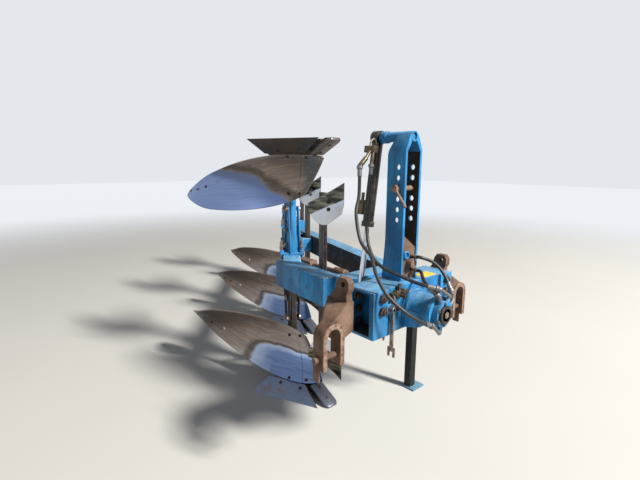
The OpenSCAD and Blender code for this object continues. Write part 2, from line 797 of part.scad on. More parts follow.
module leg() {
    translate([leg_x - leg_t / 2, 0, 0]) rotate([90, 0, 90]) linear_extrude(leg_t) polygon([
        [leg_y - 62, leg_top], [leg_y + 62, leg_top], [leg_y + 34, leg_top - 120],
        [leg_y + 34, leg_foot_z + 60], [leg_y + 10, leg_foot_z - 60], [leg_y - 40, leg_foot_z - 60],
        [leg_y - 44, leg_top - 120]
    ]);
    cheeks_w = leg_t + 2 * cheek_leg_t;
    translate([leg_x - cheeks_w / 2, 0, 0]) rotate([90, 0, 90]) linear_extrude(cheeks_w) polygon([
        [leg_y - 58, leg_top], [leg_y + 58, leg_top], [leg_y + 52, leg_top - 60],
        [leg_y + 24, leg_top - 176], [leg_y - 32, leg_top - 176], [leg_y - 52, leg_top - 60]
    ]);
    for (drop = [44, 144]) along_x(leg_x - cheeks_w / 2 - 12, leg_y - 4, leg_top - drop, 15, cheeks_w + 24);
}

module legs_lower() {
    color(blue) each_body(false) leg();
}

module legs_upper() {
    color(blue) each_body(true) leg();
}

// The plane of the share: X runs along the cutting edge, Y up the slope
module on_share() {
    rotate([0, 0, share_turn]) mirror([0, 1, 0]) rotate([share_slope, 0, 0]) children();
}

module above_ground() {
    intersection() {
        children();
        translate([-700, -200, 0]) cube([1000, 1600, 700]);
    }
}

module share() {
    above_ground() on_share() translate([0, 0, -share_t]) linear_extrude(share_t)
        polygon([[0, 0], [share_len, 0], [share_len - 75, share_w], [131, share_w]]);
}

module shares_lower() {
    color(steel) each_body(false) share();
}

module shares_upper() {
    color(steel) each_body(true) share();
}

module on_point() {
    translate([92, -28, 14]) rotate([0, 0, 15.5]) rotate([point_slope, 0, 0]) children();
}

module point_bar() {
    above_ground() on_point() translate([-45, 0, -point_t]) linear_extrude(point_t)
        polygon([[12, 0], [78, 0], [90, 22], [90, point_len], [0, point_len], [0, 22]]);
}

module points_lower() {
    color(steel) each_body(false) point_bar();
}

module points_upper() {
    color(steel) each_body(true) point_bar();
}

// A round bar from one place to another
module bar(a, b, r) {
    v = b - a;
    translate(a) rotate([0, acos(v[2] / norm(v)), atan2(v[1], v[0])])
        cylinder(r = r, h = norm(v), $fn = 16);
}

// A pad behind the board at a place on it, and a bar from the pad to the frog
module board_stay(s, t, to) {
    n = board_normal(s, t);
    back = board_point(s, t) - (board_t + pad_gap) * n;
    bar(back, back - 9 * n, 11);
    bar(back - 9 * n, to, 9);
}

// The frog: a spine that the leg, landside and every wearing piece is seated on
module frog() {
    spine_x = leg_x + leg_t / 2 + seat;
    translate([spine_x, 0, 0]) rotate([90, 0, 90]) linear_extrude(frog_t) polygon([
        [66, 3], [66, 14], [138, 62], [168, 92], [leg_y - 66, 318], [leg_y + 44, 318],
        [leg_y + 60, 200], [680, 110], [680, 3]
    ]);
    above_ground() on_point() translate([-34, 30, -point_t - seat - 16]) cube([62, point_len - 44, 16]);
    on_share() translate([105, 66, -share_t - seat - 14]) cube([share_len - 195, 46, 14]);
    bar([spine_x + frog_t / 2, 190, 54], [-34, 181, 49], 14);
    bar([spine_x + frog_t / 2, 300, 56], [-93, 243, 42], 12);
    board_stay(shin_end / 2, 0.25, [spine_x + frog_t / 2, 230, 110]);
    board_stay(shin_end / 2, 0.75, [spine_x + frog_t / 2, 380, 270]);
    board_stay(board_s(4), 0.375, [spine_x + 4, 330, 160]);
    board_stay(board_s(4), 0.75, [spine_x + 4, 370, 250]);
    board_stay(board_s(9), 0.5, [spine_x + 4, 620, 120]);
}

module frogs_lower() {
    color(dark) each_body(false) frog();
}

module frogs_upper() {
    color(dark) each_body(true) frog();
}

module landside() {
    translate([leg_x + leg_t / 2 + frog_t + 2 * seat, landside_y, 0])
        cube([landside_t, landside_len, landside_h]);
}

module landsides_lower() {
    color(steel) each_body(false) landside();
}

module landsides_upper() {
    color(steel) each_body(true) landside();
}

module board() {
    sheet(board_s(0), 1, board_rows, 8, board_t);
}

module mouldboards_lower() {
    color(steel) each_body(false) board();
}

module mouldboards_upper() {
    color(steel) each_body(true) board();
}

module shins_lower() {
    color(steel) each_body(false) sheet(0, shin_end, 4, 8, board_t);
}

module shins_upper() {
    color(steel) each_body(true) sheet(0, shin_end, 4, 8, board_t);
}

// Skimmers
skim_r = 190;
skim_t = 7;
skim_x = -104.6;
skim_y = -186.6;
skim_z0 = 240;
skim_z1 = 480;
stalk_t = 26;
stalk_w = 60;
stalk_y = -20;
stalk_z0 = 300;
bracket_t = 8;

// The blade's outline, seen square on: its length runs back from the landside, its height up
skim_outline = [[0, 0], [206, 116], [200, 158], [186, 196], [160, 226], [128, 240], [104, 236], [14, 170],
    [0, 120]];

// A bent blade: its outline is cut from a rolled sheet
module skimmer_blade() {
    intersection() {
        translate([skim_x, skim_y, skim_z0]) rotate([0, 0, 10])
            rotate_extrude(angle = 72, $fn = 96) translate([skim_r, 0]) square([skim_t, skim_z1 - skim_z0]);
        translate([80, -144, skim_z0]) rotate([0, 0, 135]) translate([0, 90, 0]) rotate([90, 0, 0])
            linear_extrude(180) polygon(skim_outline);
    }
    difference() {
        translate([stalk_x + 4, stalk_y - 50, 330]) cube([stalk_t - 8, 50 - seat, 76]);
        translate([skim_x, skim_y, 0]) cylinder(r = skim_r, h = 600, $fn = 96);
    }
}

module each_skimmer(upper) {
    for (k = bodies) at_body(k, upper) translate([stalk_shift[k], 0, 0]) children();
}

module skimmer_stalks() {
    color(blue) each_skimmer(false)
        translate([stalk_x, stalk_y, stalk_z0]) cube([stalk_t, stalk_w, 2 * (axis_z - stalk_z0)]);
}

// Each stalk's bracket, cut to the face of the beam that carries it
module skimmer_brackets() {
    color(blue) {
        difference() {
            each_bracket([0]);
            at_landside() translate([-400 + beam_w / 2 + seat, -200, -200]) cube([400, 1500, 400]);
        }
        difference() {
            each_bracket([1, 2]);
            at_main() translate([-600 + beam_w / 2 + seat, -400, -200]) cube([600, 4000, 400]);
        }
    }
}

module each_bracket(which) {
    for (k = which) at_body(k, false) translate([stalk_shift[k], 0, 0])
        translate([stalk_x - 160, stalk_y - 8, axis_z - 55]) difference() {
            cube([160 + stalk_t + bracket_t, stalk_w + 16, 110]);
            translate([160 - seat, 8 - seat, -1]) cube([stalk_t + 2 * seat, stalk_w + 2 * seat, 112]);
        }
}

module skimmers_lower() {
    color(steel) each_skimmer(false) skimmer_blade();
}

module skimmers_upper() {
    color(steel) each_skimmer(true) skimmer_blade();
}

cross_box();
pad_bolts();
tower();
bearing_tube();
swivel();
hitch_arm_right();
hitch_arm_left();
arm_bolts();
link_pins();
top_link_pin();
tower_foot_boss();
caution_label();
bar_spanner();
stand_sleeve();
stand_leg();
stand_pin();
cylinder_barrel();
cylinder_ports();
cylinder_gland();
cylinder_rod();
cylinder_hoses();
tractor_hoses();
hose_fittings();
turnover_shaft();
crank_yoke();
head_beam();
landside_beam();
main_beam();
brace_beam();
adjusting_spindle();
leg_clamps();
legs_lower();
legs_upper();
frogs_lower();
frogs_upper();
landsides_lower();
landsides_upper();
mouldboards_lower();
mouldboards_upper();
shins_lower();
shins_upper();
shares_lower();
shares_upper();
points_lower();
points_upper();
skimmer_stalks();
skimmer_brackets();
skimmers_lower();
skimmers_upper();
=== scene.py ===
# Three-furrow mounted reversible plough: its looks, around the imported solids
import json
import math

import bmesh
import bpy
from mathutils import Matrix, Quaternion, Vector


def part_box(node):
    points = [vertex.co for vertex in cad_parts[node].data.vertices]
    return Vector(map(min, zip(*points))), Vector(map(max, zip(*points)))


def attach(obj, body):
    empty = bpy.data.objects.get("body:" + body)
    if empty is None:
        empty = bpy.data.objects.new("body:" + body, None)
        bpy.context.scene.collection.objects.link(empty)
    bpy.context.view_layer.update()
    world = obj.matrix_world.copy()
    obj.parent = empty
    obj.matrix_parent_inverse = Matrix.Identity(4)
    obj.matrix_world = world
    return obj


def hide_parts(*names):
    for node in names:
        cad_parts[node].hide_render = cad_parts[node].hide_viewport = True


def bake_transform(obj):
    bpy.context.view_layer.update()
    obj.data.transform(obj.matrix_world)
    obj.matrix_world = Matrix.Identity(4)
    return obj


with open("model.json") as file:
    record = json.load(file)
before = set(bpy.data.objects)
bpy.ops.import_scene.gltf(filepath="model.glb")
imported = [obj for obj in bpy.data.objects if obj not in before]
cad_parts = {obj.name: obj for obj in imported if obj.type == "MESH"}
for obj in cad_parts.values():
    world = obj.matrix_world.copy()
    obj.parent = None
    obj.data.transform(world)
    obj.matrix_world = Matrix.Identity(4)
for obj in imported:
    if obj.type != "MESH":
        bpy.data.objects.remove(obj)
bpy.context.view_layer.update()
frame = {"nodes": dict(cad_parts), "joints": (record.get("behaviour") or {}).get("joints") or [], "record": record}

MM = 0.001
SLOT_OF = {s["node"]: s["material_slot"] for s in frame["record"]["subparts"]}
BODY_OF = {n: b for b, ns in frame["record"]["behaviour"]["bodies"].items() for n in ns}
TURNOVER = next(j for j in frame["joints"] if j["name"] == "turnover")

# The middle of the hitch on the ground, and the height of the turnover axis
BOX_LOW, BOX_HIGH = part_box("cross_box")
HITCH_X = TURNOVER["pos_m"][0]
HITCH_Y = BOX_HIGH[1] - 118 * MM
AXIS_Z = TURNOVER["pos_m"][2]


def at(x, y, z):
    """A place in millimetres from the middle of the hitch, on the ground."""
    return Vector((HITCH_X + x * MM, HITCH_Y + y * MM, z * MM))


# Camera
EYE = at(-1596, -1198, 1480)
HEADING = Vector((0.653, 0.757, 0))
PITCH_DOWN = math.radians(10.45)
ROLL = math.radians(0.33)
LENS = 23.38
SENSOR = 36


def make_camera():
    data = bpy.data.cameras.new("camera")
    data.lens = LENS
    data.sensor_width = SENSOR
    cam = bpy.data.objects.new("camera", data)
    bpy.context.scene.collection.objects.link(cam)
    view = HEADING.normalized() * math.cos(PITCH_DOWN) - Vector((0, 0, math.sin(PITCH_DOWN)))
    turn = view.to_track_quat("-Z", "Y") @ Quaternion((0, 0, 1), ROLL)
    cam.matrix_world = Matrix.Translation(EYE) @ turn.to_matrix().to_4x4()
    bpy.context.scene.camera = cam


make_camera()


# What materials are made with
def linear(hex_colour):
    """An sRGB hex value as linear RGBA."""
    parts = [int(hex_colour[i:i + 2], 16) / 255 for i in (1, 3, 5)]
    return [c / 12.92 if c <= 0.04045 else ((c + 0.055) / 1.055) ** 2.4 for c in parts] + [1.0]


def every(mm):
    """The scale at which a pattern repeats about every so many millimetres."""
    return 1 / (mm * MM)


def add(tree, kind, inputs=None, out=0, **settings):
    """Adds one node; each input is a value or another node's output, and the answer is its own output."""
    made = tree.nodes.new("ShaderNode" + kind)
    for key, value in settings.items():
        setattr(made, key, value)
    for key, value in (inputs or {}).items():
        if isinstance(value, bpy.types.NodeSocket):
            tree.links.new(value, made.inputs[key])
        else:
            made.inputs[key].default_value = value
    return made.outputs[out]


def material(name, **shader):
    """A new material with its tree and shader; what is the same all over sits on the shader's own sockets."""
    mat = bpy.data.materials.new(name)
    mat.use_nodes = True
    surface = mat.node_tree.nodes["Principled BSDF"]
    for key, value in shader.items():
        surface.inputs[key.replace("_", " ")].default_value = value
    return mat, mat.node_tree, surface


def coated(tree, ground, coats):
    """A ground colour with coats over it in turn, each a share and a hex colour or a node's output."""
    skin = linear(ground)
    for share, colour in coats:
        over = linear(colour) if isinstance(colour, str) else colour
        skin = add(tree, "Mix", {0: share, 6: skin, 7: over}, 2, data_type="RGBA")
    return skin


def lay(tree, surface, colour, roughness, relief=None, depth_mm=0.3):
    """Links a colour, a roughness and a relief of so many millimetres to the shader."""
    tree.links.new(colour, surface.inputs["Base Color"])
    tree.links.new(roughness, surface.inputs["Roughness"])
    if relief:
        normal = add(tree, "Bump", {"Height": relief, "Distance": depth_mm * MM, "Strength": 0.9}, "Normal")
        tree.links.new(normal, surface.inputs["Normal"])


def clouded(name, pattern, spread, colours, gloss, depth_mm, settled=None, **shader):
    """A finish of two colours, the second in clouds over the first, each with its own roughness.

    The pattern is how often it repeats in millimetres, its detail and its roughness. The spread is where the
    second colour starts and is full, and its largest share. Dust is settled: fuller on faces that look up,
    from one height of the normal to another, with the share that stays below."""
    mat, tree, surface = material(name, **shader)
    place = add(tree, "TexCoord", out="Object")
    size, detail, rough = pattern
    cloud = add(tree, "TexNoise", {"Vector": place, "Scale": every(size), "Detail": detail,
                                   "Roughness": rough}, "Fac")
    start, full, share = spread
    second = add(tree, "MapRange", {0: cloud, 1: start, 2: full, 3: 0.0, 4: share})
    if settled:
        up = add(tree, "SeparateXYZ", {0: add(tree, "TexCoord", out="Normal")}, "Z")
        low, high, least = settled
        top = add(tree, "MapRange", {0: up, 1: low, 2: high, 3: least, 4: 1.0})
        second = add(tree, "Math", {0: top, 1: second}, operation="MULTIPLY")
    skin = coated(tree, colours[0], [(second, colours[1])])
    lay(tree, surface, skin, add(tree, "MapRange", {0: second, 3: gloss[0], 4: gloss[1]}), cloud, depth_mm)
    return mat


# Brushed machine enamel after years outdoors: chalky and pale on top, darkened in its corners by dirt and
# painted shade, streaked where rain runs down, and chipped to brown rust
def weathered_enamel():
    mat, tree, surface = material("weathered_blue_enamel", IOR=1.5, Specular_IOR_Level=0.35)
    place = add(tree, "TexCoord", out="Object")
    up = add(tree, "SeparateXYZ", {0: add(tree, "TexCoord", out="Normal")}, "Z")
    patches, mottle, grain, chips = [
        add(tree, "TexNoise", {"Vector": place, "Scale": every(size), "Detail": detail, "Roughness": rough,
                               "Distortion": swirl}, "Fac")
        for size, detail, rough, swirl in ((190, 5, 0.62, 0), (34, 6, 0.65, 0), (7, 4, 0.6, 0),
                                           (30, 9, 0.74, 0.4))]
    faded = add(tree, "MapRange", {0: patches, 1: 0.36, 2: 0.64})
    chalk = add(tree, "Math", {0: add(tree, "MapRange", {0: up, 1: 0.3, 2: 0.95}),
                               1: add(tree, "MapRange", {0: mottle, 1: 0.25, 2: 0.62, 3: 0.25, 4: 0.7})},
                operation="MULTIPLY")
    down = add(tree, "Mapping", {"Vector": place, "Scale": (1, 1, 0.08)})
    runs = add(tree, "TexNoise", {"Vector": down, "Scale": every(26), "Detail": 4, "Roughness": 0.6}, "Fac")
    streaks = add(tree, "MapRange", {0: runs, 1: 0.54, 2: 0.74, 3: 0.0, 4: 0.5})
    film_at = add(tree, "TexNoise", {"Vector": down, "Scale": every(120), "Detail": 8, "Roughness": 0.7,
                                     "Distortion": 0.5}, "Fac")
    film = add(tree, "MapRange", {0: film_at, 1: 0.46, 2: 0.66, 3: 0.0, 4: 0.6})
    # Dirt and painted shade: grey-brown darkening in the corners, where the piece's own faces close in
    open_air = add(tree, "AmbientOcclusion", {"Distance": 60 * MM}, "AO", samples=6, only_local=True)
    corner = add(tree, "MapRange", {0: open_air, 1: 0.8, 2: 0.35, 3: 0.0, 4: 0.9})
    uneven = add(tree, "MapRange", {0: mottle, 1: 0.3, 2: 0.6, 3: 0.4, 4: 1.0})
    corner_dirt_and_shade = add(tree, "Math", {0: corner, 1: uneven}, operation="MULTIPLY")
    low = add(tree, "SeparateXYZ", {0: place}, "Z")
    splash = add(tree, "Math", {0: add(tree, "MapRange", {0: low, 1: 0.55, 2: 0.0}),
                                1: add(tree, "MapRange", {0: grain, 1: 0.4, 2: 0.7})}, operation="MULTIPLY")
    gone = add(tree, "MapRange", {0: chips, 1: 0.62, 2: 0.635})
    rust = coated(tree, "#3B241A", [(grain, "#8B5A3B")])
    colour = coated(tree, "#1D6DA6", [
        (faded, "#3192CC"), (chalk, "#78A4BE"), (streaks, "#1F3A50"), (film, "#263848"), (corner_dirt_and_shade, "#3A332C"),
        (splash, "#7E7468"), (gone, rust)])
    sheen = add(tree, "MapRange", {0: mottle, 1: 0.3, 2: 0.7, 3: 0.38, 4: 0.6})
    dull = add(tree, "MapRange", {0: gone, 3: sheen, 4: 0.85})
    relief = add(tree, "Math", {0: grain, 1: gone}, operation="SUBTRACT")
    lay(tree, surface, colour, dull, relief, 0.3)
    return mat


# Enamel inside the tower and the box, which never gets wiped: black-brown grease and dust with blue showing,
# and painted shade there; on the lower legs and on the brace's side towards the camera it is painted shade
def grime_and_shade_enamel():
    mat, tree, surface = material("grime_and_painted_shade_enamel", IOR=1.5, Specular_IOR_Level=0.3)
    place = add(tree, "TexCoord", out="Object")
    cloud = add(tree, "TexNoise", {"Vector": place, "Scale": every(60), "Detail": 7, "Roughness": 0.66},
                "Fac")
    clean = add(tree, "MapRange", {0: cloud, 1: 0.52, 2: 0.64, 3: 0.0, 4: 0.9})
    skin = coated(tree, "#17120F", [(cloud, "#43382E"), (clean, "#1C4668")])
    lay(tree, surface, skin, add(tree, "MapRange", {0: clean, 3: 0.75, 4: 0.5}), cloud, 0.4)
    return mat


# The same enamel along an edge, rubbed through to primer and rust, and paler where it faces up, a painted
# highlight
def rubbed_edge():
    mat, tree, surface = material("rubbed_enamel_edge", IOR=1.5, Specular_IOR_Level=0.3)
    place = add(tree, "TexCoord", out="Object")
    up = add(tree, "SeparateXYZ", {0: add(tree, "TexCoord", out="Normal")}, "Z")
    wear = add(tree, "TexNoise", {"Vector": place, "Scale": every(22), "Detail": 7, "Roughness": 0.72,
                                  "Distortion": 0.5}, "Fac")
    fine = add(tree, "TexNoise", {"Vector": place, "Scale": every(5), "Detail": 4}, "Fac")
    # Painted highlight: edges paler the more they face up
    lit = add(tree, "MapRange", {0: up, 1: -0.4, 2: 0.8})
    gone = add(tree, "MapRange", {0: wear, 1: 0.5, 2: 0.54})
    rust = coated(tree, "#472C20", [(fine, "#A0714F")])
    skin = coated(tree, "#3C86B8", [(lit, "#92BFD8"), (gone, rust)])
    lay(tree, surface, skin, add(tree, "MapRange", {0: gone, 3: 0.5, 4: 0.85}), fine, 0.25)
    return mat


# Forged and cast iron under an even coat of old rust: orange-brown and matt, darker in pits and hollows,
# lighter where it is rubbed, with the last scraps of blue
def rusted_iron():
    mat, tree, surface = material("rusted_forged_iron", Specular_IOR_Level=0.3)
    place = add(tree, "TexCoord", out="Object")
    broad, fine, scale, scraps = [
        add(tree, "TexNoise", {"Vector": place, "Scale": every(size), "Detail": detail, "Roughness": rough,
                               "Distortion": swirl}, "Fac")
        for size, detail, rough, swirl in ((80, 6, 0.62, 0), (4.5, 6, 0.7, 0), (16, 7, 0.7, 0.4),
                                           (95, 8, 0.7, 0.6))]
    pale = add(tree, "MapRange", {0: broad, 1: 0.34, 2: 0.66})
    pits = add(tree, "MapRange", {0: fine, 1: 0.5, 2: 0.72, 3: 0.0, 4: 0.75})
    flakes = add(tree, "MapRange", {0: scale, 1: 0.6, 2: 0.66, 3: 0.0, 4: 0.6})
    open_air = add(tree, "AmbientOcclusion", {"Distance": 40 * MM}, "AO", samples=6, only_local=True)
    hollow = add(tree, "MapRange", {0: open_air, 1: 0.75, 2: 0.3, 3: 0.0, 4: 0.8})
    blue_left = add(tree, "MapRange", {0: scraps, 1: 0.66, 2: 0.68, 3: 0.0, 4: 0.7})
    skin = coated(tree, "#523E32", [(pale, "#80695A"), (pits, "#3E2A20"), (flakes, "#4B3A33"),
                                    (hollow, "#35241B"), (blue_left, "#3E6F94")])
    relief = add(tree, "Math", {0: scale, 1: fine}, operation="ADD")
    lay(tree, surface, skin, add(tree, "MapRange", {0: fine, 1: 0.3, 2: 0.7, 3: 0.72, 4: 0.9}), relief, 0.45)
    return mat


# Board steel scoured by the furrow slice: one zone polished, coloured blue-grey as a painted reflection of the
# sky, with a band inside its brink that is painted too, a bright highlight on the lower boards and a dark
# reflection on the upper ones, and a dark line round it, and the rest under a thin grey-brown haze. Long curved
# scratches follow the sheet by its own UV map, in which U is the share of its length and V rises from its lower
# edge as parked. The zone is round, square or a wedge as its power is 2, 4 or 1
def scoured_board(name, zone_middle, zone_reach, power, polish_and_painted_sky):
    mat, tree, surface = material(name, Metallic=1.0)
    on_sheet = add(tree, "TexCoord", out="UV")
    place = add(tree, "TexCoord", out="Object")
    cloud = add(tree, "TexNoise", {"Vector": place, "Scale": every(150), "Detail": 4, "Roughness": 0.5},
                "Color")
    wander = add(tree, "VectorMath", {0: cloud, 1: (0.16, 0.16, 0)}, operation="MULTIPLY")
    moved = add(tree, "VectorMath", {0: on_sheet, 1: wander}, operation="ADD")
    from_middle = add(tree, "VectorMath", {0: moved, 1: (zone_middle[0] + 0.08, zone_middle[1] + 0.08, 0)},
                      operation="SUBTRACT")
    spread = add(tree, "VectorMath", {0: from_middle, 1: (*zone_reach, 1)}, operation="DIVIDE")
    raised = add(tree, "VectorMath", {0: add(tree, "VectorMath", {0: spread}, operation="ABSOLUTE"),
                                      1: (power, power, power)}, operation="POWER")
    u_part = add(tree, "SeparateXYZ", {0: raised}, "X")
    v_part = add(tree, "SeparateXYZ", {0: raised}, "Y")
    beyond = add(tree, "Math", {0: add(tree, "Math", {0: u_part, 1: v_part}, operation="ADD"), 1: 1 / power},
                 operation="POWER")
    haze = add(tree, "MapRange", {0: beyond, 1: 0.97, 2: 1.02})
    streak_at, line_at, swirl_at = [
        add(tree, "Mapping", {"Vector": moved, "Scale": stretch, "Rotation": (0, 0, turn)})
        for stretch, turn in (((1.2, 9, 1), 0.3), ((1, 90, 1), -0.1), ((3, 5, 1), 0.7))]
    streaks, lines, swirls = [
        add(tree, "TexNoise", {"Vector": spot, "Scale": size, "Detail": detail, "Roughness": rough,
                               "Distortion": swirl}, "Fac")
        for spot, size, detail, rough, swirl in ((streak_at, 3, 4, 0.55, 0), (line_at, 4, 5, 0.75, 0),
                                                 (swirl_at, 1.6, 3, 0.5, 1.6))]
    pale = add(tree, "MapRange", {0: swirls, 1: 0.52, 2: 0.66, 3: 0.0, 4: 0.55})
    brown = coated(tree, "#776C65", [(add(tree, "MapRange", {0: streaks, 1: 0.2, 2: 0.8}), "#948881"),
                                     (pale, "#ABA298")])
    # Painted band inside the zone's brink: a highlight on the lower boards, a dark reflection on the upper
    painted_band = add(tree, "MapRange", {0: beyond, 1: 0.72, 2: 0.93, 3: 0.0, 4: 0.7})
    from_brink = add(tree, "Math", {0: add(tree, "Math", {0: beyond, 1: 1.07}, operation="SUBTRACT")},
                     operation="ABSOLUTE")
    brink = add(tree, "MapRange", {0: from_brink, 1: 0.09, 2: 0.02, 3: 0.0, 4: 0.7})
    spots = add(tree, "TexNoise", {"Vector": place, "Scale": every(11), "Detail": 7, "Roughness": 0.75},
                "Fac")
    pits = add(tree, "MapRange", {0: spots, 1: 0.66, 2: 0.7, 3: 0.0, 4: 0.8})
    # The polished zone's blue-grey colours are a painted reflection of the sky
    skin = coated(tree, polish_and_painted_sky[0], [(add(tree, "MapRange", {0: streaks, 1: 0.3, 2: 0.7}), polish_and_painted_sky[1]),
                                    (painted_band, polish_and_painted_sky[2]), (haze, brown), (brink, "#3F3B3A"), (pits, "#4E3A2E")])
    gloss = add(tree, "MapRange", {0: lines, 1: 0.3, 2: 0.75, 3: 0.2, 4: 0.28})
    gloss = add(tree, "Math", {0: haze, 1: 0.14, 2: gloss}, operation="MULTIPLY_ADD")
    gloss = add(tree, "Math", {0: pits, 1: 0.4, 2: gloss}, operation="MULTIPLY_ADD")
    lay(tree, surface, skin, gloss, add(tree, "Math", {0: lines, 1: pits}, operation="SUBTRACT"), 0.035)
    return mat


# Share, point and landside steel: rolled bar worn grey, blue where the soil polished it, fine scratches
# along the furrow
def worn_share_steel(name, dark, light, haze_from):
    mat, tree, surface = material(name, Metallic=0.9)
    place = add(tree, "TexCoord", out="Object")
    line_at = add(tree, "Mapping", {"Vector": place, "Scale": (1, 0.06, 1), "Rotation": (0, 0, 0.45)})
    lines, cloud, spots = [
        add(tree, "TexNoise", {"Vector": spot, "Scale": every(size), "Detail": detail, "Roughness": rough},
            "Fac")
        for spot, size, detail, rough in ((line_at, 5, 6, 0.7), (place, 70, 6, 0.6), (place, 9, 7, 0.75))]
    haze = add(tree, "MapRange", {0: cloud, 1: haze_from, 2: haze_from + 0.18, 3: 0.0, 4: 0.7})
    pits = add(tree, "MapRange", {0: spots, 1: 0.62, 2: 0.68, 3: 0.0, 4: 0.85})
    skin = coated(tree, dark, [(add(tree, "MapRange", {0: lines, 1: 0.3, 2: 0.7}), light),
                               (haze, "#6A5D52"), (pits, "#463226")])
    gloss = add(tree, "MapRange", {0: lines, 1: 0.3, 2: 0.75, 3: 0.3, 4: 0.46})
    gloss = add(tree, "Math", {0: pits, 1: 0.35, 2: gloss}, operation="MULTIPLY_ADD")
    lay(tree, surface, skin, gloss, add(tree, "Math", {0: lines, 1: pits}, operation="SUBTRACT"), 0.15)
    return mat


# Skimmer blades: mirror-bright along the edge near the stalk, dark and filmed in bands over the rest.
# U runs back along the blade and V from its cutting edge towards the beams, both in metres
def skimmer_steel():
    mat, tree, surface = material("two_tone_skimmer_steel", Metallic=1.0)
    on_blade = add(tree, "TexCoord", out="UV")
    place = add(tree, "TexCoord", out="Object")
    along = add(tree, "SeparateXYZ", {0: on_blade}, "X")
    across = add(tree, "SeparateXYZ", {0: on_blade}, "Y")
    cloud = add(tree, "TexNoise", {"Vector": place, "Scale": every(60), "Detail": 3, "Roughness": 0.5,
                                   "Distortion": 0.6}, "Fac")
    level = add(tree, "Math", {0: along, 1: -0.45, 2: across}, operation="MULTIPLY_ADD")
    level = add(tree, "Math", {0: cloud, 1: 0.025, 2: level}, operation="MULTIPLY_ADD")
    inner = add(tree, "MapRange", {0: level, 1: 0.1, 2: 0.106})
    band_at = add(tree, "Mapping", {"Vector": on_blade, "Scale": (1, 4, 1), "Rotation": (0, 0, -0.45)})
    bands = add(tree, "TexNoise", {"Vector": band_at, "Scale": every(90), "Detail": 2, "Roughness": 0.5,
                                   "Distortion": 0.3}, "Fac")
    filmed = add(tree, "MapRange", {0: bands, 1: 0.38, 2: 0.66})
    skin = coated(tree, "#3A3A32", [(filmed, "#7C7A6E"), (inner, "#BFC7D2")])
    lay(tree, surface, skin, add(tree, "MapRange", {0: bands, 1: 0.3, 2: 0.7, 3: 0.14, 4: 0.3}), bands, 0.1)
    return mat


# The stand: black enamel on the post, and on the foot the worn blue of the frame
def stand_enamel():
    mat, tree, surface = material("black_post_blue_foot_enamel", IOR=1.5, Specular_IOR_Level=0.3)
    place = add(tree, "TexCoord", out="Object")
    cloud = add(tree, "TexNoise", {"Vector": place, "Scale": every(24), "Detail": 7, "Roughness": 0.68},
                "Fac")
    level = add(tree, "SeparateXYZ", {0: place}, "Z")
    foot = add(tree, "MapRange", {0: level, 1: 16 * MM, 2: 13 * MM})
    dirt = add(tree, "MapRange", {0: cloud, 1: 0.5, 2: 0.66, 3: 0.0, 4: 0.7})
    blue = coated(tree, "#5C86A0", [(dirt, "#6B6157")])
    skin = coated(tree, "#0A0D11", [(dirt, "#2E2924"), (foot, blue)])
    lay(tree, surface, skin, add(tree, "MapRange", {0: dirt, 3: 0.45, 4: 0.8}), cloud, 0.25)
    return mat


# Ground hard chrome on a rod, with a faint oil film
def hard_chrome():
    mat, tree, surface = material("hard_chromed_rod", Metallic=1.0)
    place = add(tree, "Mapping", {"Vector": add(tree, "TexCoord", out="Object"), "Scale": (1, 1, 0.2)})
    film = add(tree, "TexNoise", {"Vector": place, "Scale": every(14), "Detail": 5}, "Fac")
    oily = add(tree, "MapRange", {0: film, 1: 0.48, 2: 0.72})
    skin = coated(tree, "#D8DBE0", [(oily, "#9A958D")])
    lay(tree, surface, skin, add(tree, "MapRange", {0: oily, 3: 0.09, 4: 0.26}))
    return mat


# Fabric-wrapped hydraulic hose: matt black rubber, greyed with dust on its upper side
def wrapped_rubber():
    mat, tree, surface = material("wrapped_hose_rubber", IOR=1.5)
    place = add(tree, "TexCoord", out="Object")
    up = add(tree, "SeparateXYZ", {0: add(tree, "TexCoord", out="Normal")}, "Z")
    cloud = add(tree, "TexNoise", {"Vector": place, "Scale": every(22), "Detail": 6, "Roughness": 0.6}, "Fac")
    weave = add(tree, "TexNoise", {"Vector": place, "Scale": every(2), "Detail": 2}, "Fac")
    settled = add(tree, "Math", {0: add(tree, "MapRange", {0: up, 1: -0.2, 2: 0.9, 3: 0.05, 4: 1.0}),
                                 1: add(tree, "MapRange", {0: cloud, 1: 0.34, 2: 0.66, 3: 0.0, 4: 0.35})},
                  operation="MULTIPLY")
    skin = coated(tree, "#0D0E10", [(settled, "#55534F")])
    lay(tree, surface, skin, add(tree, "MapRange", {0: settled, 3: 0.42, 4: 0.75}), weave, 0.15)
    return mat


ENAMEL = weathered_enamel()
EDGE = rubbed_edge()
SHADE_GRIME = grime_and_shade_enamel()
RUST = rusted_iron()
BOARDS = {
    # Polished zones coloured as painted sky reflections, each with its painted band
    "lower": scoured_board("scoured_lower_board_painted_sky", (0.12, 0.12), (0.42, 0.38), 4,
                           ("#52648A", "#6C7E9F", "#ACB8CB")),
    "upper": scoured_board("scoured_upper_board_painted_sky", (1.0, 0.0), (0.8, 1.6), 1,
                           ("#7486B0", "#8797BB", "#5E6F97")),
}
SHARE = worn_share_steel("soil_worn_share_steel", "#545F74", "#717D93", 0.5)
HAZED_SHARE = worn_share_steel("brown_hazed_share_steel", "#4C443F", "#6B625B", 0.32)
POINT = worn_share_steel("ground_point_steel", "#535763", "#6D7078", 0.58)
SKIMMER = skimmer_steel()
STAND = stand_enamel()
CHROME = hard_chrome()
RUBBER = wrapped_rubber()

# Satin black enamel under brown dust and dried oil
BLACK = clouded("dusty_black_enamel", (28, 7, 0.66), (0.42, 0.68, 0.8), ("#111214", "#4F4034"), (0.34, 0.8),
                0.25, settled=(-0.6, 0.9, 0.35), IOR=1.5)

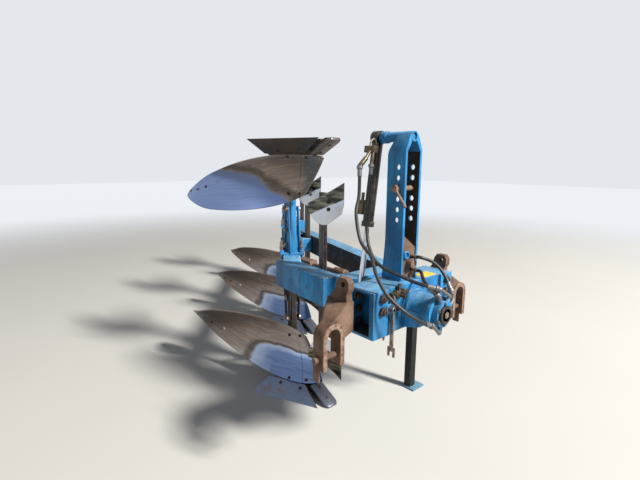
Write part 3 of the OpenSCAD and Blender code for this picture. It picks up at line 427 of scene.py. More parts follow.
# Rusted iron along its edges, rubbed paler by hands and chains
HANDLED = clouded("rubbed_rusty_edge", (18, 7, 0.7), (0.4, 0.62, 1.0), ("#978071", "#664D3F"), (0.55, 0.82),
                  0.25, Specular_IOR_Level=0.35)

# Iron that works under the soil: dark brown, with earth dried on it
EARTHY = clouded("earth_caked_iron", (38, 5, 0.6), (0.5, 0.62, 1.0), ("#2A211C", "#66513F"), (0.65, 0.95),
                 0.5, Specular_IOR_Level=0.3)

# Turned steel gone grey-brown in the weather
BARE = clouded("weathered_bare_steel", (24, 7, 0.68), (0.38, 0.66, 1.0), ("#99948C", "#6E503B"), (0.36, 0.75),
               0.25, Metallic=0.7)

# Zinc plate on hose ends and screws: bluish silver, dulled to grey where it is handled
ZINC = clouded("dulled_zinc_plate", (12, 6, 0.65), (0.42, 0.7, 1.0), ("#7E8185", "#484540"), (0.42, 0.65),
               0.02, Metallic=0.7)

# Yellow-passivated steel on the valve and its fittings, gone khaki under oil and dust
KHAKI = clouded("oily_yellow_passivate", (14, 7, 0.7), (0.4, 0.66, 1.0), ("#6E6250", "#352E27"), (0.34, 0.7),
                0.2, Metallic=0.8)

# Blank vinyl label, sun-faded, with dirt creeping in from its corners
VINYL = clouded("blank_yellow_vinyl", (30, 7, 0.68), (0.5, 0.7, 0.75), ("#EFC42C", "#8E7541"), (0.32, 0.7),
                0.1, IOR=1.46)

# Weld metal painted over: the enamel's blue, darker and knobbly
WELD = clouded("painted_weld_bead", (8, 5, 0.65), (0.54, 0.6, 1.0), ("#2A6A9B", "#4A3224"), (0.45, 0.8), 0.3,
               IOR=1.5)


# Tools for pieces. The models that they copy are listed, and are removed once all is made
MODELS = []


def deselect():
    bpy.ops.object.select_all(action="DESELECT")


def choose(piece):
    deselect()
    piece.select_set(True)
    bpy.context.view_layer.objects.active = piece


def new_piece(name, shape):
    piece = bpy.data.objects.new(name, shape)
    bpy.context.scene.collection.objects.link(piece)
    return piece


def apply_modifiers(piece):
    choose(piece)
    for modifier in list(piece.modifiers):
        bpy.ops.object.modifier_apply(modifier=modifier.name)


def bevel(piece, width_mm, segments=2, angle=35, edge_slot=-1):
    """A bevel on the sharp edges, applied; its faces may take a material slot of their own."""
    made = piece.modifiers.new("edges", "BEVEL")
    made.width = width_mm * MM
    made.segments = segments
    made.limit_method = "ANGLE"
    made.angle_limit = math.radians(angle)
    made.material = edge_slot
    apply_modifiers(piece)


def on_plough(piece, body, finishes, angle=35):
    """Gives a finished piece its materials, its shading and its body, if it rides on only one."""
    piece.data.materials.clear()
    for finish in finishes:
        piece.data.materials.append(finish)
    choose(piece)
    bpy.ops.object.shade_smooth_by_angle(angle=math.radians(angle))
    if body:
        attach(piece, body)
    return piece


def turned(profile, sides=24):
    """A turned or hexagonal part about Z: a disc, extruded and resized through (radius, height) in mm."""
    (radius, level), *rings = profile
    deselect()
    bpy.ops.mesh.primitive_circle_add(vertices=sides, radius=radius * MM, fill_type="NGON")
    piece = bpy.context.object
    bpy.ops.object.mode_set(mode="EDIT")
    bpy.ops.mesh.select_all(action="SELECT")
    bpy.ops.transform.translate(value=(0, 0, level * MM))
    for wide, high in rings:
        bpy.ops.mesh.extrude_region_move(TRANSFORM_OT_translate={"value": (0, 0, (high - level) * MM)})
        bpy.ops.transform.resize(value=(wide / radius, wide / radius, 1), center_override=(0, 0, high * MM))
        radius, level = wide, high
    bpy.ops.mesh.select_all(action="SELECT")
    bpy.ops.mesh.normals_make_consistent(inside=False)
    bpy.ops.object.mode_set(mode="OBJECT")
    return piece


def facing(place, direction, turn=0.0):
    """Where a part that was made about Z points along a direction."""
    stood = Vector(direction).to_track_quat("Z", "Y").to_matrix().to_4x4()
    return Matrix.Translation(place) @ stood @ Matrix.Rotation(turn, 4, "Z")


def joined(pieces, name):
    """Several pieces made one."""
    deselect()
    for piece in pieces:
        piece.select_set(True)
    bpy.context.view_layer.objects.active = pieces[0]
    if len(pieces) > 1:
        bpy.ops.object.join()
    pieces[0].name = name
    return pieces[0]


def set_out(model, name, places):
    """Copies of a model, one at each place, joined into one piece; the model goes at the end."""
    if model not in MODELS:
        MODELS.append(model)
    copies = []
    for place in places:
        copy = new_piece(name, model.data.copy())
        copy.data.transform(place)
        if place.determinant() < 0:
            copy.data.flip_normals()
        copies.append(copy)
    return joined(copies, name)


def fasten(model, name, places, body, finish, edge_mm=0, angle=30):
    """A model's copies as one finished piece, with eased edges where a width is given."""
    piece = set_out(model, name, places)
    if edge_mm:
        bevel(piece, edge_mm, 1)
    return on_plough(piece, body, [finish], angle)


def tube_along(name, line, radius_mm, ripple=0.0, closed=False):
    """A round tube along places in metres, made a mesh; ripple swells every other place, as in a weld."""
    path = bpy.data.curves.new(name, "CURVE")
    path.dimensions = "3D"
    path.bevel_depth = radius_mm * MM
    path.bevel_resolution = 6 if radius_mm > 5 else 2
    path.use_fill_caps = True
    strand = path.splines.new("POLY")
    strand.points.add(len(line) - 1)
    strand.use_cyclic_u = closed
    for i, (point, place) in enumerate(zip(strand.points, line)):
        point.co = (*place, 1)
        point.radius = 1 + ripple * (i % 2)
    choose(new_piece(name, path))
    bpy.ops.object.convert(target="MESH")
    return bpy.context.object


def block(name, size, place, edge_mm, segments=2):
    """A bar or plate with eased edges: a cube drawn out to its size in millimetres, then set in its place."""
    deselect()
    bpy.ops.mesh.primitive_cube_add(size=1)
    made = bpy.context.object
    made.name = name
    bpy.ops.object.mode_set(mode="EDIT")
    bpy.ops.mesh.select_all(action="SELECT")
    bpy.ops.transform.resize(value=tuple(v * MM for v in size))
    bpy.ops.object.mode_set(mode="OBJECT")
    bevel(made, edge_mm, segments, edge_slot=1)
    made.data.transform(place)
    return made


def keep_edges(piece, body, finishes):
    """Finishes a piece that already has its edges in the second slot."""
    marks = [polygon.material_index for polygon in piece.data.polygons]
    on_plough(piece, body, finishes)
    for polygon, mark in zip(piece.data.polygons, marks):
        polygon.material_index = mark


# CAD nodes with their edges eased
FINISH = {
    "blue_paint": (ENAMEL, EDGE), "black_paint": (BLACK, BLACK), "rusty_iron": (RUST, HANDLED),
    "worn_steel": (SHARE, SHARE), "bare_steel": (BARE, BARE), "rod_chrome": (CHROME, CHROME),
    "yellow_label": (VINYL, VINYL), "hose_rubber": (RUBBER, RUBBER),
}
NODE_FINISH = {
    "skimmers_lower": (SKIMMER, SHARE), "skimmers_upper": (SKIMMER, SHARE), "hose_fittings": (ZINC, ZINC),
    "cylinder_ports": (KHAKI, KHAKI), "frogs_lower": (EARTHY, EARTHY), "frogs_upper": (EARTHY, EARTHY),
    "shares_upper": (HAZED_SHARE, SHARE), "points_upper": (HAZED_SHARE, SHARE),
    "points_lower": (POINT, SHARE), "skimmer_stalks": (BLACK, RUST), "top_link_pin": (HANDLED, HANDLED),
    "stand_leg": (STAND, EDGE), "swivel": (ENAMEL, EDGE), "pad_bolts": (EARTHY, RUST),
    # the lower legs take the dark grimed enamel as painted shade
    "arm_bolts": (EARTHY, RUST), "legs_lower": (SHADE_GRIME, EDGE),
}
# Widths of the eased edges in millimetres, each with the nodes that have it
EASED = {
    0.3: "caution_label",
    1: "hose_fittings turnover_shaft cylinder_rod",
    1.2: "shares_lower shares_upper skimmers_lower skimmers_upper",
    1.5: "bar_spanner stand_pin",
    2: "swivel arm_bolts link_pins top_link_pin cylinder_barrel cylinder_gland cylinder_ports "
       "adjusting_spindle leg_clamps",
    2.5: "bearing_tube landsides_lower landsides_upper points_lower points_upper",
    3: "cross_box pad_bolts tower tower_foot_boss stand_sleeve frogs_lower frogs_upper skimmer_stalks "
       "skimmer_brackets",
    4: "stand_leg crank_yoke",
    5: "hitch_arm_right hitch_arm_left legs_lower legs_upper",
    6: "head_beam",
    7: "landside_beam brace_beam",
    8: "main_beam",
}


def eased_copy(node, width_mm):
    """A copy of a CAD node, its flat faces joined again and its edges bevelled, that stands for the node."""
    mesh = frame["nodes"][node].data.copy()
    shape = bmesh.new()
    shape.from_mesh(mesh)
    bmesh.ops.remove_doubles(shape, verts=shape.verts, dist=0.00002)
    bmesh.ops.dissolve_limit(shape, angle_limit=math.radians(0.6), verts=shape.verts, edges=shape.edges)
    for face in shape.faces:
        face.material_index = 0
    shape.to_mesh(mesh)
    shape.free()
    piece = new_piece(node + "_eased", mesh)
    finishes = NODE_FINISH.get(node, FINISH[SLOT_OF[node]])
    mesh.materials.clear()
    for finish in finishes:
        mesh.materials.append(finish)
    bevel(piece, width_mm, 2, edge_slot=1)
    keep_edges(piece, BODY_OF[node], finishes)
    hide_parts(node)


for width, nodes in EASED.items():
    for node in nodes.split():
        eased_copy(node, width)


def refinish(node, slot, chosen, finish=None):
    """Moves the faces that a test picks, by middle and normal, to another material slot of an eased copy."""
    mesh = bpy.data.objects[node + "_eased"].data
    if finish:
        mesh.materials.append(finish)
    for polygon in mesh.polygons:
        if chosen(polygon.center, polygon.normal):
            polygon.material_index = slot


# Grease and painted shade on the faces that look in on the tower and the box, painted shade on the brace's
# side that faces back towards the camera, and the clevises' fronts rubbed by the lower links
CLEVIS_TOP = 825 * MM
refinish("tower", 2, lambda c, n: abs(n.x) > 0.9 and n.x * (c.x - HITCH_X) < 0 and c.z < 1.5, SHADE_GRIME)
refinish("cross_box", 2, lambda c, n: BOX_LOW[0] + 4 * MM < c.x < BOX_HIGH[0] - 4 * MM and (
    (abs(n.z) > 0.9 and n.z * (c.z - AXIS_Z) < 0)
    or (n.y > 0.9 and c.y < BOX_LOW[1] + 40 * MM)), SHADE_GRIME)
# The brace's faces turned towards the camera take the dark enamel as painted shade
refinish("brace_beam", 2, lambda c, n: abs(n.z) < 0.3 and n.dot(HEADING) < -0.1, SHADE_GRIME)
for arm in ("hitch_arm_left", "hitch_arm_right"):
    refinish(arm, 1, lambda c, n: n.y < -0.9 and c.z < CLEVIS_TOP and c.y < HITCH_Y)


# Bodies: three places along the frame, each with a lower body and its mirror image above
SWING = math.radians(15)
BODY_PITCH = 1045 * MM
FURROW = 400 * MM
TIP = at(-87, 564, 0)
SIDES = (("lower", False), ("upper", True))


def body_place(k, upper, sideways=0):
    """From one body's own axes, Y along the furrow, to the plough's."""
    place = Matrix.Translation(TIP) @ Matrix.Rotation(-SWING, 4, "Z")
    place = place @ Matrix.Translation((FURROW * k + sideways * MM, BODY_PITCH * k, 0))
    if upper:
        place = Matrix.Translation((0, 0, 2 * AXIS_Z)) @ Matrix.Scale(-1, 4, (0, 0, 1)) @ place
    return place


BOARD_TOP = [(75, 335, 325), (-30, 400, 440), (-418, 728, 492), (-590, 905, 415)]
BOARD_BOTTOM = [(85, 105, 108), (-150, 140, 66), (-320, 740, 96), (-560, 1160, 340)]
SHIN_END = 0.17
TAIL_START = 0.78
TAIL_TRIM = 0.009
HOLLOW = 58
BOARD_THICK = 8 * MM
TAIL_HOLE = (0.75, 0.355)
BOARD_BOLTS = [(0.24, 0.80), (0.125, 0.88), (0.27, 0.03), (0.14, 0.05), (0.96, 0.15), (0.90, 0.32),
               (0.84, 0.34)]


def bezier(points, s):
    a, b, c, d = (Vector(p) for p in points)
    return a * (1 - s) ** 3 + b * 3 * s * (1 - s) ** 2 + c * 3 * s * s * (1 - s) + d * s ** 3


def board_point(s, t):
    """A place on a mouldboard's face, in metres in the body's own axes."""
    tail = min(1, max(0, (s - TAIL_START) / (1 - TAIL_START))) * 0.998
    half = max(0.03, 0.5 * math.sqrt(1 - tail * tail))
    q = 0.5 + (t - 0.5) * 2 * half
    reach = s - TAIL_TRIM * tail * tail
    low, high = bezier(BOARD_BOTTOM, reach), bezier(BOARD_TOP, reach)
    depth = HOLLOW * (0.25 + 0.75 * math.sin(math.pi * min(1, s * 1.1)))
    out = Vector((0.8, 0.55, -0.15)).normalized()
    return (low + (high - low) * q + out * (4 * q * (1 - q) * depth)) * MM


def board_normal(s, t):
    e = 0.002
    along = board_point(min(0.97, s + e), t) - board_point(max(0, s - e), t)
    up = board_point(s, min(1, t + e)) - board_point(s, max(0, t - e))
    return up.cross(along).normalized()


def bent_plate(s_from, s_to, n_along, n_up, upper, hole=None):
    """One plate of the board, bent from a flat grid and given its thickness, in the body's own axes.

    Its UV map has the length of the whole board along U, and runs from the lower edge as parked along V."""
    deselect()
    bpy.ops.mesh.primitive_grid_add(x_subdivisions=n_along, y_subdivisions=n_up, size=2)
    plate = bpy.context.object
    for corner in plate.data.uv_layers.active.data:
        u, v = corner.uv
        corner.uv = (s_from + (s_to - s_from) * u, 1 - v if upper else v)
    for vertex in plate.data.vertices:
        s = s_from + (s_to - s_from) * (vertex.co.x + 1) / 2
        vertex.co = board_point(s, (vertex.co.y + 1) / 2)
    middle = plate.data.polygons[len(plate.data.polygons) // 2]
    if board_normal((s_from + s_to) / 2, 0.5).dot(middle.normal) < 0:
        plate.data.flip_normals()
    thick = plate.modifiers.new("thickness", "SOLIDIFY")
    thick.thickness = BOARD_THICK
    thick.offset = -1
    apply_modifiers(plate)
    if hole:
        deselect()
        bpy.ops.mesh.primitive_cylinder_add(vertices=24, radius=11 * MM, depth=80 * MM)
        drill = bpy.context.object
        drill.data.transform(facing(board_point(*hole), board_normal(*hole)))
        cut = plate.modifiers.new("hole", "BOOLEAN")
        cut.object = drill
        apply_modifiers(plate)
        bpy.data.objects.remove(drill)
    bevel(plate, 1.6, 2, 50)
    return plate


# Boards and shins, and their bolts
board_bolt = turned([(11, -3), (11, 0.4), (9.6, 1.3), (5, 1.6)], 20)
for side, upper in SIDES:
    bodies = [body_place(k, upper) for k in range(3)]
    for name, node, plate in (
            ("curved_board_", "mouldboards_", bent_plate(SHIN_END + 0.001, 1, 72, 28, upper, TAIL_HOLE)),
            ("curved_shin_", "shins_", bent_plate(0, SHIN_END, 14, 28, upper))):
        piece = fasten(plate, name + side, bodies, "plough_frame", BOARDS[side], angle=40)
        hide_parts(node + side)
    heads = [body @ facing(board_point(s, t), board_normal(s, t)) for body in bodies for s, t in BOARD_BOLTS]
    fasten(board_bolt, "board_bolts_" + side, heads, "plough_frame", EARTHY)


def on_bodies(model, name, places, finish, edge_mm=0, shift=(0, 0, 0)):
    """Small parts at the same places on each body, in the body's own axes: one piece for each side."""
    for side, upper in SIDES:
        spots = [body_place(k, upper, shift[k]) @ place for k in range(3) for place in places]
        fasten(model, name + side, spots, "plough_frame", finish, edge_mm)


# Share bolts, on the share's plane: X along the cutting edge, Y up the slope, from the share's tip
SHARE_X = Vector((-0.6374, 0.7705, 0))
SHARE_Y = Vector((0.5448, 0.4507, 0.7071))
SHARE_OUT = Vector((-0.5448, -0.4507, 0.7071))
SHARE_BOLTS = [(300, 98), (155, 92)]
heads = [facing((SHARE_X * x + SHARE_Y * y) * MM, SHARE_OUT) for x, y in SHARE_BOLTS]
on_bodies(board_bolt, "share_bolts_", heads, EARTHY)

# Countersunk bolts along each point, on the point's own plane
POINT_PLANE = (Matrix.Translation((92 * MM, -28 * MM, 14 * MM)) @ Matrix.Rotation(math.radians(15.5), 4, "Z")
               @ Matrix.Rotation(math.radians(27), 4, "X"))
POINT_BOLTS = (62, 148)
heads = [POINT_PLANE @ Matrix.Translation((0, y * MM, 0)) for y in POINT_BOLTS]
on_bodies(board_bolt, "point_bolts_", heads, EARTHY)


# Skimmers: each blade's map, and its bolts through the hollow face into the stalk
SKIM_AXIS = (-104.6, -186.6)
SKIM_R = 190
SKIM_BOLT_TURN = math.radians(43.6)
SKIM_BOLT_LEVELS = (348, 390)
SKIM_SHIFT = (0, -32, -32)
SKIM_START = Vector((80, -144, 240)) * MM
SKIM_ALONG = Vector((-1, 1, 0)).normalized()


def map_skimmers(node, upper):
    """Gives each corner of the eased blades its distance back along the blade and up from its tip."""
    mesh = bpy.data.objects[node + "_eased"].data
    own = [body_place(k, upper, SKIM_SHIFT[k]).inverted() for k in range(3)]
    layer = mesh.uv_layers.new(name="along_blade") if not mesh.uv_layers else mesh.uv_layers.active
    for loop in mesh.loops:
        place = mesh.vertices[loop.vertex_index].co
        nearest = min((turn @ place - SKIM_START for turn in own), key=lambda v: v.length)
        layer.data[loop.index].uv = (nearest.dot(SKIM_ALONG), nearest.z)


for side, upper in SIDES:
    map_skimmers("skimmers_" + side, upper)
round_head = turned([(11, -1), (11, 3), (8, 6), (3, 7)], 20)
to_axis = Vector((-math.cos(SKIM_BOLT_TURN), -math.sin(SKIM_BOLT_TURN), 0))
heads = [facing((Vector((*SKIM_AXIS, level)) - to_axis * SKIM_R) * MM, to_axis) for level in SKIM_BOLT_LEVELS]
on_bodies(round_head, "skimmer_bolts_", heads, EARTHY, shift=SKIM_SHIFT)


# Shear and pivot bolts through the legs' cheeks: a washer and a hexagon at both ends
LEG_X = 20
LEG_Y = 458
CHEEKS = 30
LEG_TOP = 720.9
hexagon = turned([(20, 0), (20, 3), (14, 3), (14, 12), (12, 14)], 6)
for side, upper in SIDES:
    ends = []
    for k in range(3):
        for drop in (44, 144):
            for way in (-1, 1):
                spot = Vector((LEG_X + way * (CHEEKS + 12), LEG_Y, LEG_TOP - drop)) * MM
                ends.append(body_place(k, upper) @ facing(spot, (way, 0, 0), 0.3 * k))
    fasten(hexagon, "leg_nuts_" + side, ends, "plough_frame", BARE, 0.8)


# Slanting flats from the clamp plate up both cheeks of each leg, the shear device's arms, with their bolts
FLAT_FOOT = 56
FLAT_HEAD = 24
FLAT_LONG = 300
FLAT_OUT = CHEEKS + 4.5
lean = math.atan2(FLAT_FOOT - FLAT_HEAD, FLAT_LONG)
flat_run = math.hypot(FLAT_FOOT - FLAT_HEAD, FLAT_LONG)
for side, upper in SIDES:
    flats = []
    for k in range(3):
        for way in (-1, 1):
            for fore in (-1, 1):
                middle = Vector((LEG_X + way * FLAT_OUT, LEG_Y + fore * (FLAT_FOOT + FLAT_HEAD) / 2,
                                 LEG_TOP - FLAT_LONG / 2 - 1)) * MM
                turn = Matrix.Rotation(fore * -lean, 4, "X")
                flat = block("leg_flat", (8, 30, flat_run), Matrix.Identity(4), 2)
                flat.data.transform(body_place(k, upper) @ Matrix.Translation(middle) @ turn)
                if upper:
                    flat.data.flip_normals()
                flats.append(flat)
    # The lower flats take the dark grimed enamel as painted shade; the upper ones stay clean enamel
    paint = ENAMEL if upper else SHADE_GRIME
    keep_edges(joined(flats, "leg_flats_" + side), "plough_frame", [paint, EDGE])
heads = []
for way in (-1, 1):
    for fore in (-1, 1):
        head = (LEG_X + way * (FLAT_OUT + 4), LEG_Y + fore * FLAT_HEAD, LEG_TOP - FLAT_LONG + 14)
        heads.append(facing(Vector(head) * MM, (way, 0, 0), 0.4))
on_bodies(hexagon, "leg_flat_bolts_", heads, BARE, 0.8)

# Long studs out of the clamps' nuts, each with its lock nut
stud = turned([(8, 0), (8, 22), (15, 22), (15, 34), (8, 34), (8, 66), (6.5, 68)], 6)
CLAMP_FOOT = Vector((LEG_X, 462, LEG_TOP - 13.5)) * MM
MAIN_TURN = Matrix.Rotation(-math.atan2(FURROW, BODY_PITCH), 4, "Z")
studs = [facing(CLAMP_FOOT + MAIN_TURN @ Vector((x * MM, y * MM, 0)), (0, 0, -1))
         for x in (-66, 66) for y in (-52, 52)]
on_bodies(stud, "clamp_studs_", studs, BARE, 0.7)


# Hoses, smooth along the routes that the solids follow, in millimetres from the hitch
HOSE_R = 8
HOSE_LONG = [(-153, 190, 1455), (-170, 175, 1330), (-204, 158, 1250), (-221, 110, 1130), (-232, 30, 1068),
             (-265, -30, 1007), (-272, -100, 932), (-235, -165, 868), (-175, -202, 820), (-105, -213, 785)]
HOSE_SHORT = [(-90, 175, 1462), (-97, 172, 1400), (-112, 172, 1260), (-122, 164, 1170), (-150, 115, 1080),
              (-148, 50, 1012), (-122, -50, 978), (-104, -110, 961), (-98, -165, 955), (-68, -203, 945)]
HOSE_FAR = [(17, -37, 1044), (21, -58, 1044), (66, -86, 1024), (94, -116, 990), (96, -150, 950),
            (88, -182, 905)]
HOSE_NEAR = [(22, -37, 978), (20, -60, 976), (-14, -96, 962), (-52, -142, 948), (-64, -176, 932),
             (-54, -194, 917)]


def route(points, steps=8):
    """The smooth line through a hose's points, as places in metres."""
    line = []
    for i in range(len(points) - 1):
        a, b, c, d = (Vector(points[max(0, min(len(points) - 1, i + k))]) for k in (-1, 0, 1, 2))
        for j in range(steps):
            t = j / steps
            line.append(0.5 * (2 * b + t * (c - a) + t * t * (2 * a - 5 * b + 4 * c - d)
                               + t ** 3 * (3 * b - a - 3 * c + d)))
    return [at(*place) for place in line + [Vector(points[-1])]]


def hoses(name, routes):
    return joined([tube_along(name, route(points), HOSE_R) for points in routes], name)


def hose_end(points, first):
    """Where a ferrule sits on a hose's first or last end."""
    line = route(points)
    end, inner = (line[0], line[3]) if first else (line[-1], line[-4])
    return facing(end, inner - end)


swinging = hoses("smooth_cylinder_hoses", [HOSE_LONG, HOSE_SHORT])
on_plough(swinging, None, [RUBBER], 60)
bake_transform(swinging)
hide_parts("cylinder_hoses")
standing = hoses("smooth_tractor_hoses", [HOSE_FAR, HOSE_NEAR])
on_plough(standing, "headstock", [RUBBER], 60)
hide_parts("tractor_hoses")

# A crimped ferrule with its nut, from a hose's end backwards over the hose
ferrule = turned([(13, -16), (14.5, -14), (14.5, -2), (13, 0), (9.4, 0), (9.4, 2), (11, 3), (11, 11),
                  (10.2, 12), (10.2, 14), (11, 15), (11, 23), (10.2, 24), (10.2, 26), (11, 27), (11, 34),
                  (9, 36)], 20)
low_ends = [hose_end(points, False) for points in (HOSE_LONG, HOSE_SHORT, HOSE_FAR, HOSE_NEAR)]
fasten(ferrule, "hose_ferrules_at_swivel", low_ends, "headstock", ZINC)
high_ends = [hose_end(points, True) for points in (HOSE_LONG, HOSE_SHORT)]
fasten(ferrule, "hose_ferrules_at_ports", high_ends, "barrel", ZINC)

# A thin pipe that loops from the upper port block over to the barrel
PORT_LOOP = [(-84, 190, 1560), (-84, 189, 1578), (-72, 190, 1592), (-56, 192, 1597), (-42, 195, 1590),
             (-32, 198, 1572), (-27, 201, 1545), (-25, 208, 1520)]
loop = tube_along("port_loop_pipe", route(PORT_LOOP, 5), 4)
on_plough(loop, "barrel", [BARE], 60)


def on_front(model, name, places, finish):
    """Small parts that point forwards on the headstock, at places in millimetres from the hitch."""
    spots = [facing(at(*place), (0, -1, 0)) for place in places]
    fasten(model, name, spots, "headstock", finish)


# Swivel face: socket screws round the cap and a hexagon plug in its middle
SWIVEL_FACE = -213
SCREW_CIRCLE = 51
TUBE_Z = AXIS_Z / MM
socket_screw = turned([(7, -1), (7, 5), (6.2, 6), (3.4, 6), (3.4, 2)], 18)
round_face = [math.radians(30 + 60 * i) for i in range(6)]
screws = [(SCREW_CIRCLE * math.cos(a), SWIVEL_FACE, TUBE_Z + SCREW_CIRCLE * math.sin(a)) for a in round_face]
on_front(socket_screw, "swivel_screws", screws, ZINC)
cap = turned([(43, -1), (43, 9), (41, 12), (34, 13.5), (30, 12), (20, 12)], 40)
on_front(cap, "swivel_cap", [(0, SWIVEL_FACE, TUBE_Z)], BLACK)
plug = turned([(17, -1), (17, 1.6), (11, 1.6), (11, 3.4), (9, 4)], 6)
on_front(plug, "swivel_plug", [(0, SWIVEL_FACE - 11.5, TUBE_Z)], BARE)

# Small things on the box's front face: a pipe stub with its ring
stub = turned([(18, 0), (18, 7), (13, 7), (13, 30), (11.5, 31.5), (9, 31.5), (9, 18)], 24)
on_front(stub, "box_pipe_stub", [(-198, -54, 840)], ZINC)
ring = turned([(22, 0), (24, 2), (24, 9), (22, 11), (18.5, 11), (18.5, 0)], 28)
on_front(ring, "box_stub_ring", [(-198, -52, 840)], ENAMEL)

# A small check valve clamped under the box's top edge, with four unions, and two square-headed bolts below
valve = block("box_valve", (62, 26, 30), Matrix.Translation(at(-128, -53.5, 900)), 3, 3)
keep_edges(valve, "headstock", [KHAKI, BARE])
union = turned([(11, -2), (11, 10), (8, 10), (8, 18), (10, 19), (10, 27), (6, 28)], 6)
unions = [facing(at(-159, -53.5, 902), (-1, 0, 0)), facing(at(-97, -53.5, 898), (1, 0, 0)),
          facing(at(-128, -53.5, 914), (0, 0, 1)), facing(at(-128, -66, 892), (0, -1, 0))]
fasten(union, "box_valve_unions", unions, "headstock", KHAKI)
square_head = turned([(15, -1), (15, 4), (11, 4), (11, 13), (9, 14)], 4)
heads = [facing(at(-127, -40, 821), (0, -1, 0), 0.8), facing(at(-160, -40, 780), (0, -1, 0), 0.4)]
fasten(square_head, "box_front_bolts", heads, "headstock", EARTHY)

# Webs across the inside of the box, one behind each row of heavy bolts
webs = [block("box_web", (8, 133, 191), Matrix.Translation(at(way * 188, 39, 820)), 2) for way in (-1, 1)]
keep_edges(joined(webs, "box_webs"), "headstock", [ENAMEL, EDGE])

# An eye plate with its shackle ring under the box, and a painted ring on the tower's foot plate
eye_plate = block("eye_plate", (58, 34, 10), Matrix.Translation(at(-172, -22, 706.5)), 2)
keep_edges(eye_plate, "headstock", [ENAMEL, EDGE])
deselect()
bpy.ops.mesh.primitive_torus_add(major_segments=28, minor_segments=10, major_radius=13 * MM,
                                 minor_radius=3 * MM)
hanging = [facing(at(-190, -22, 690.5), (0.5, -1, 0))]
fasten(bpy.context.object, "shackle_ring", hanging, "headstock", BARE, angle=60)
foot_ring = turned([(20, -1), (20, 7), (18, 9), (13, 9), (12, 7), (12, 2)], 28)
on_front(foot_ring, "tower_foot_ring", [(-22, 0, 1052)], ENAMEL)

# Forging flash, a low rim round both faces of each clevis: middle, radius, height of the arch, and foot
CLEVIS = (482.5, 57.5, 762, 628)
CLEVIS_FACES = (-1, 61)
rims = []
for way in (-1, 1):
    for y in CLEVIS_FACES:
        middle, radius, arch, foot = CLEVIS
        bow = [(way * middle + radius * math.cos(a), y, arch + radius * math.sin(a))
               for a in (math.pi * i / 20 for i in range(21))]
        line = [(way * middle + radius, y, foot), *bow, (way * middle - radius, y, foot)]
        rims.append(tube_along("clevis_rim", [at(*place) for place in line], 3.5))
on_plough(joined(rims, "clevis_rims"), "headstock", [HANDLED], 60)

# Welds, as beads of small steps along the joints
BEAD = 4.5
THIN_BEAD = 3.5
RIPPLE = 0.25
TOWER_OUT = 61.5
BOX_TOP = 928
TUBE_R = 74


def straight(a, b, step=5):
    """Places from one to the other, in millimetres from the hitch, about a step apart."""
    a, b = Vector(a), Vector(b)
    count = max(2, round((b - a).length / step))
    return [at(*(a + (b - a) * i / count)) for i in range(count + 1)]


def circle(y, radius, count=90):
    """Places round the bearing tube."""
    turns = [2 * math.pi * i / count for i in range(count)]
    return [at(radius * math.cos(a), y, TUBE_Z + radius * math.sin(a)) for a in turns]


foot = BOX_TOP + 1
feet = [straight((x, -4, foot), (x, 108, foot)) for x in (-TOWER_OUT, TOWER_OUT)]
feet.append(straight((-45, -1, foot), (45, -1, foot)))
corners = [straight((x, -42, 718), (x, -42, 922)) for x in (-205, 205)]
beads = [tube_along("bead", run, BEAD, RIPPLE) for run in feet]
beads += [tube_along("bead", circle(y, TUBE_R + out), BEAD, RIPPLE, True) for y, out in ((-67, 2), (-42, 13))]
beads += [tube_along("bead", run, THIN_BEAD, RIPPLE) for run in corners]
on_plough(joined(beads, "headstock_welds"), "headstock", [WELD], 60)

for model in MODELS:
    bpy.data.objects.remove(model)


# Floor, world and lamps
BACKDROP = "#E4E8ED"
BACKDROP_LIGHT = 0.2
FLOOR_SIZE = 60
FADE_FROM = 4.0
FADE_TO = 11.0


def seen_straight(tree):
    """1 for the camera's rays and for those in metal and through glass, 0 for the light on the object."""
    camera, glossy, clear = [add(tree, "LightPath", out="Is " + kind + " Ray")
                             for kind in ("Camera", "Glossy", "Transmission")]
    seen = add(tree, "Math", {0: camera, 1: glossy}, operation="MAXIMUM")
    return add(tree, "Math", {0: seen, 1: clear}, operation="MAXIMUM")


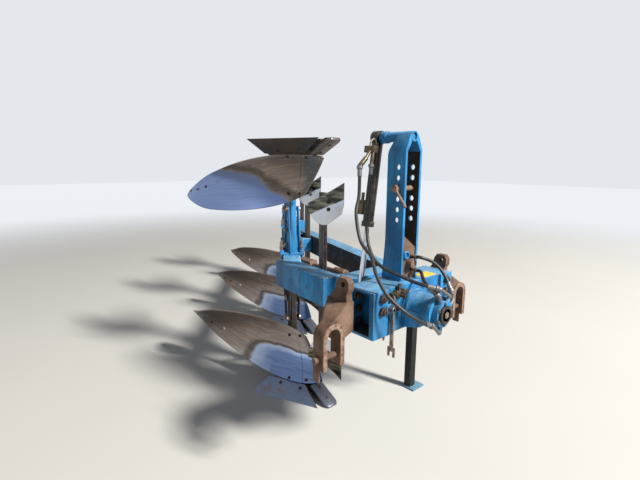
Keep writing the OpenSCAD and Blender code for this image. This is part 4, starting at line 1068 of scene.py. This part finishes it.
def make_floor():
    """A pale matt floor that keeps the shadow and fades into the backdrop away from the plough."""
    deselect()
    bpy.ops.mesh.primitive_plane_add(size=FLOOR_SIZE, location=(0, 0, 0))
    floor = bpy.context.object
    floor.name = "floor"
    mat, tree, surface = material("pale_matt_floor", Roughness=0.9)
    place = add(tree, "TexCoord", out="Object")
    tone = add(tree, "TexNoise", {"Vector": place, "Scale": every(1600), "Detail": 2}, "Fac")
    away = add(tree, "VectorMath", {0: place}, "Value", operation="LENGTH")
    fade = add(tree, "MapRange", {0: away, 1: FADE_FROM, 2: FADE_TO}, interpolation_type="SMOOTHSTEP")
    shade = coated(tree, "#C2C1BE", [(tone, "#CAC9C6"), (fade, "#000000")])
    tree.links.new(shade, surface.inputs["Base Color"])
    glow = add(tree, "Math", {0: fade, 1: seen_straight(tree)}, operation="MULTIPLY")
    tree.links.new(glow, surface.inputs["Emission Strength"])
    surface.inputs["Emission Color"].default_value = linear(BACKDROP)
    floor.data.materials.append(mat)


def make_lamp(name, place, target, size, watts, colour):
    data = bpy.data.lights.new(name, "AREA")
    data.shape = "DISK"
    data.size = size
    data.energy = watts
    data.color = linear(colour)[:3]
    lamp = bpy.data.objects.new(name, data)
    bpy.context.scene.collection.objects.link(lamp)
    turn = (target - place).to_track_quat("-Z", "Y").to_matrix().to_4x4()
    lamp.matrix_world = Matrix.Translation(place) @ turn


def make_world():
    """Soft light all round; seen straight, in metal or through glass, it is the pale backdrop."""
    world = bpy.data.worlds.new("studio")
    bpy.context.scene.world = world
    world.use_nodes = True
    tree = world.node_tree
    background = tree.nodes["Background"]
    background.inputs["Color"].default_value = linear(BACKDROP)
    strength = add(tree, "MapRange", {0: seen_straight(tree), 3: BACKDROP_LIGHT, 4: 1.0})
    tree.links.new(strength, background.inputs["Strength"])


make_floor()
make_world()
MIDDLE = at(200, 900, 700)
make_lamp("key", at(4200, -12500, 12800), MIDDLE, 2.6, 6700, "#FFFAF2")
make_lamp("fill", at(-9000, -2000, 6400), MIDDLE, 8.0, 70, "#EEF4FF")

bpy.context.scene.view_settings.view_transform = "Standard"
